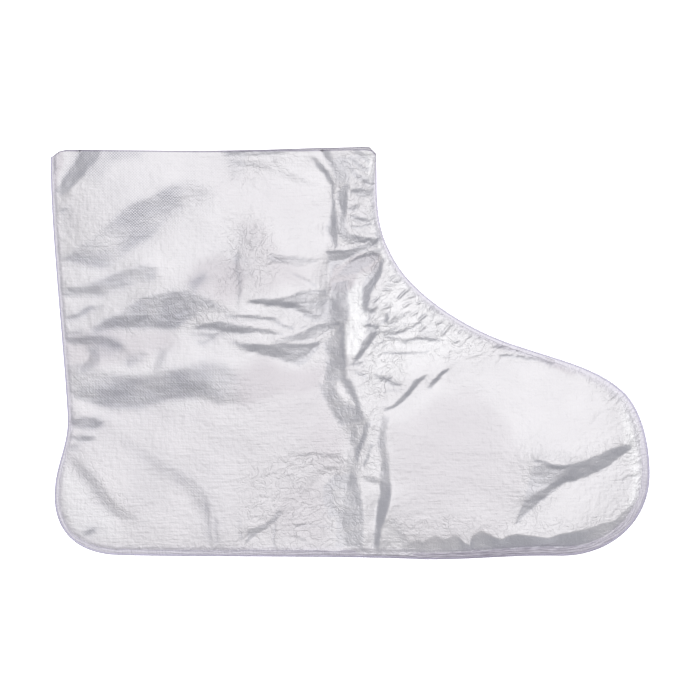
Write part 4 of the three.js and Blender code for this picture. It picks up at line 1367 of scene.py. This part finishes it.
def film_material(name):
    material, wire, shader = new_material(name)
    place = wire.node("ShaderNodeTexCoord", out="Object")
    x, y = (place.node("ShaderNodeSeparateXYZ", {}, {0: place}, out=k) for k in (0, 1))
    gap, along, cut, dot_relief_and_shade, steep, painted_tone, crumpled = tag_values(
        wire, ("seam_gap", "seam_run", "cut_gap", "embossed", "steep", "painted_tone", "crumpled"))
    dots = (x * (2 * math.pi / DOT_PITCH_X)).cos() * (y * (2 * math.pi / DOT_PITCH_Y)).cos()
    patchy = ((grain(wire, place, 30.0) - 0.30) * 3.0).clamp()
    emboss(wire, shader, film_relief(wire, place, dots, patchy, along, gap, dot_relief_and_shade, crumpled))
    wire.plug(shader.inputs["Base Color"],
              film_colour(wire, dots, patchy, gap, cut, dot_relief_and_shade, steep, painted_tone))
    wire.plug(shader.inputs["Roughness"], 0.34 + grain(wire, place, 40.0) * 0.12)
    shader.inputs["Metallic"].default_value = FILM_METALLIC
    shader.inputs["IOR"].default_value = FILM_IOR
    print(name, "nodes:", len(material.node_tree.nodes))
    return material


film = film_material("silky_film")
for piece in (near, far):
    piece.data.materials.append(film)

# %% [markdown]
# ## The finish of the seam
#
# Several layers of film lie on each other in the seam, so it looks lavender where the
# panels look white, and mauve along the sole. The layers show as streaks along it and
# the gathers as tucks across it. Both are noise stretched along the seam's own two
# directions, which the mesh carries as attributes, so the pattern follows every bend.
# A dark line along the seam's inner side, stronger on some stretches, is painted shade
# of the crease where seam and film meet.

# %% Film of the sewn edge
SEAM_PALE = (0.87, 0.84, 0.91, 1)
SEAM_LAVENDER = (0.56, 0.53, 0.70, 1)
SEAM_MAUVE = (0.33, 0.30, 0.37, 1)
SEAM_INNER_SHADE = (0.34, 0.32, 0.42, 1)
SEAM_METALLIC = 0.15


def seam_material(name):
    material, wire, shader = new_material(name)
    along, inset, lavender, mauve, inner = tag_values(wire, SEAM_TAGS)
    streaks = grain(wire, beside_seam(wire, along * 0.12, inset * 1.6), detail=3.0)
    tucks = grain(wire, beside_seam(wire, along * 0.8, inset * 0.25), detail=3.0)
    colour = mix_colour(wire, lavender, SEAM_PALE, SEAM_LAVENDER)
    colour = mix_colour(wire, (mauve * (streaks * 1.5 - 0.14)).clamp(), colour, SEAM_MAUVE)
    # Painted shade: the dark line along the seam's inner side, broken by the tucks.
    colour = mix_colour(wire, (inner * (tucks * 1.6 - 0.1)).clamp(), colour, SEAM_INNER_SHADE)
    wire.plug(shader.inputs["Base Color"], colour)
    emboss(wire, shader, (tucks * (1.15 - mauve) + streaks * mauve * 1.4) * 0.35)
    wire.plug(shader.inputs["Roughness"], 0.38 + streaks * 0.15)
    shader.inputs["Metallic"].default_value = SEAM_METALLIC
    print(name, "nodes:", len(material.node_tree.nodes))
    return material


seam.data.materials.append(seam_material("sewn_edge_film"))

# %% [markdown]
# ## What each piece stands for
#
# Nothing on the cover turns or slides, so every piece rides on its one body. Each piece
# takes the place of one solid of the measured model, which is hidden.

# %% Riding and hiding the measured solids
for piece, node in ((near, "near_panel"), (far, "far_panel"), (seam, "edge_seam")):
    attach(piece, "root")
    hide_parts(node)

# %% [markdown]
# ## Floor and lights
#
# White film on a white floor shows its folds only in soft light that comes more from one
# side. The floor glows, so that it stays white round the cover. One wide softbox overhead
# stands a little towards the far side: slopes that face it are bright, and slopes that
# turn away are grey. A weaker and lower one on the far side adds to that.

# %% Floor
FLOOR_HALF = 6
FLOOR_GLOW = 0.95
bm = bmesh.new()
bmesh.ops.create_grid(bm, x_segments=1, y_segments=1, size=FLOOR_HALF)
floor = link_piece("studio_floor", bm)
material, wire, shader = new_material("white_floor")
shader.inputs["Base Color"].default_value = (0.9, 0.9, 0.9, 1)
shader.inputs["Roughness"].default_value = 0.9
shader.inputs["Emission Color"].default_value = (1, 1, 1, 1)
shader.inputs["Emission Strength"].default_value = FLOOR_GLOW
floor.data.materials.append(material)


# %% Lights
def soft_light(name, where, size, power):
    """A rectangular softbox that faces the middle of the cover."""
    data = bpy.data.lights.new(name, "AREA")
    data.shape = "RECTANGLE"
    data.size, data.size_y = size
    data.energy = power
    lamp = bpy.data.objects.new(name, data)
    lamp.location = where
    towards = Vector((0, 0, 0)) - Vector(where)
    lamp.rotation_euler = towards.to_track_quat("-Z", "Y").to_euler()
    bpy.context.collection.objects.link(lamp)
    print(name, "watts:", power, "from, m:", where)


soft_light("overhead_softbox", where=(0.33, 0.83, 4.2), size=(3.85, 4.75), power=137)
soft_light("far_side_fill", where=(0, 4.6, 2.5), size=(4.2, 1.7), power=30)

# %% Studio air
AIR_COLOUR = (0.94, 0.95, 1, 1)
AIR_STRENGTH = 0.22
world = bpy.data.worlds.new("studio")
world.use_nodes = True
world.node_tree.nodes["Background"].inputs["Color"].default_value = AIR_COLOUR
world.node_tree.nodes["Background"].inputs["Strength"].default_value = AIR_STRENGTH
bpy.context.scene.world = world
bpy.context.scene.view_settings.view_transform = "Standard"

# %% [markdown]
# ## The camera
#
# The cover is seen straight from above. A long lens from far away keeps its outline
# nearly free of perspective, and the distance follows from the width that the view takes
# in.

# %% Camera
SHOWN_WIDTH = 0.4643
SHOWN_AT = 0.008
VIEW_MIDDLE = (0.0003, 0.002)
camera = bpy.data.objects.new("camera", bpy.data.cameras.new("camera"))
camera.data.lens, camera.data.sensor_width = 200, 36
distance = SHOWN_WIDTH * camera.data.lens / camera.data.sensor_width
camera.location = (*VIEW_MIDDLE, distance + SHOWN_AT)
bpy.context.collection.objects.link(camera)
bpy.context.scene.camera = camera
print("camera height, m:", round(camera.location.z, 3))
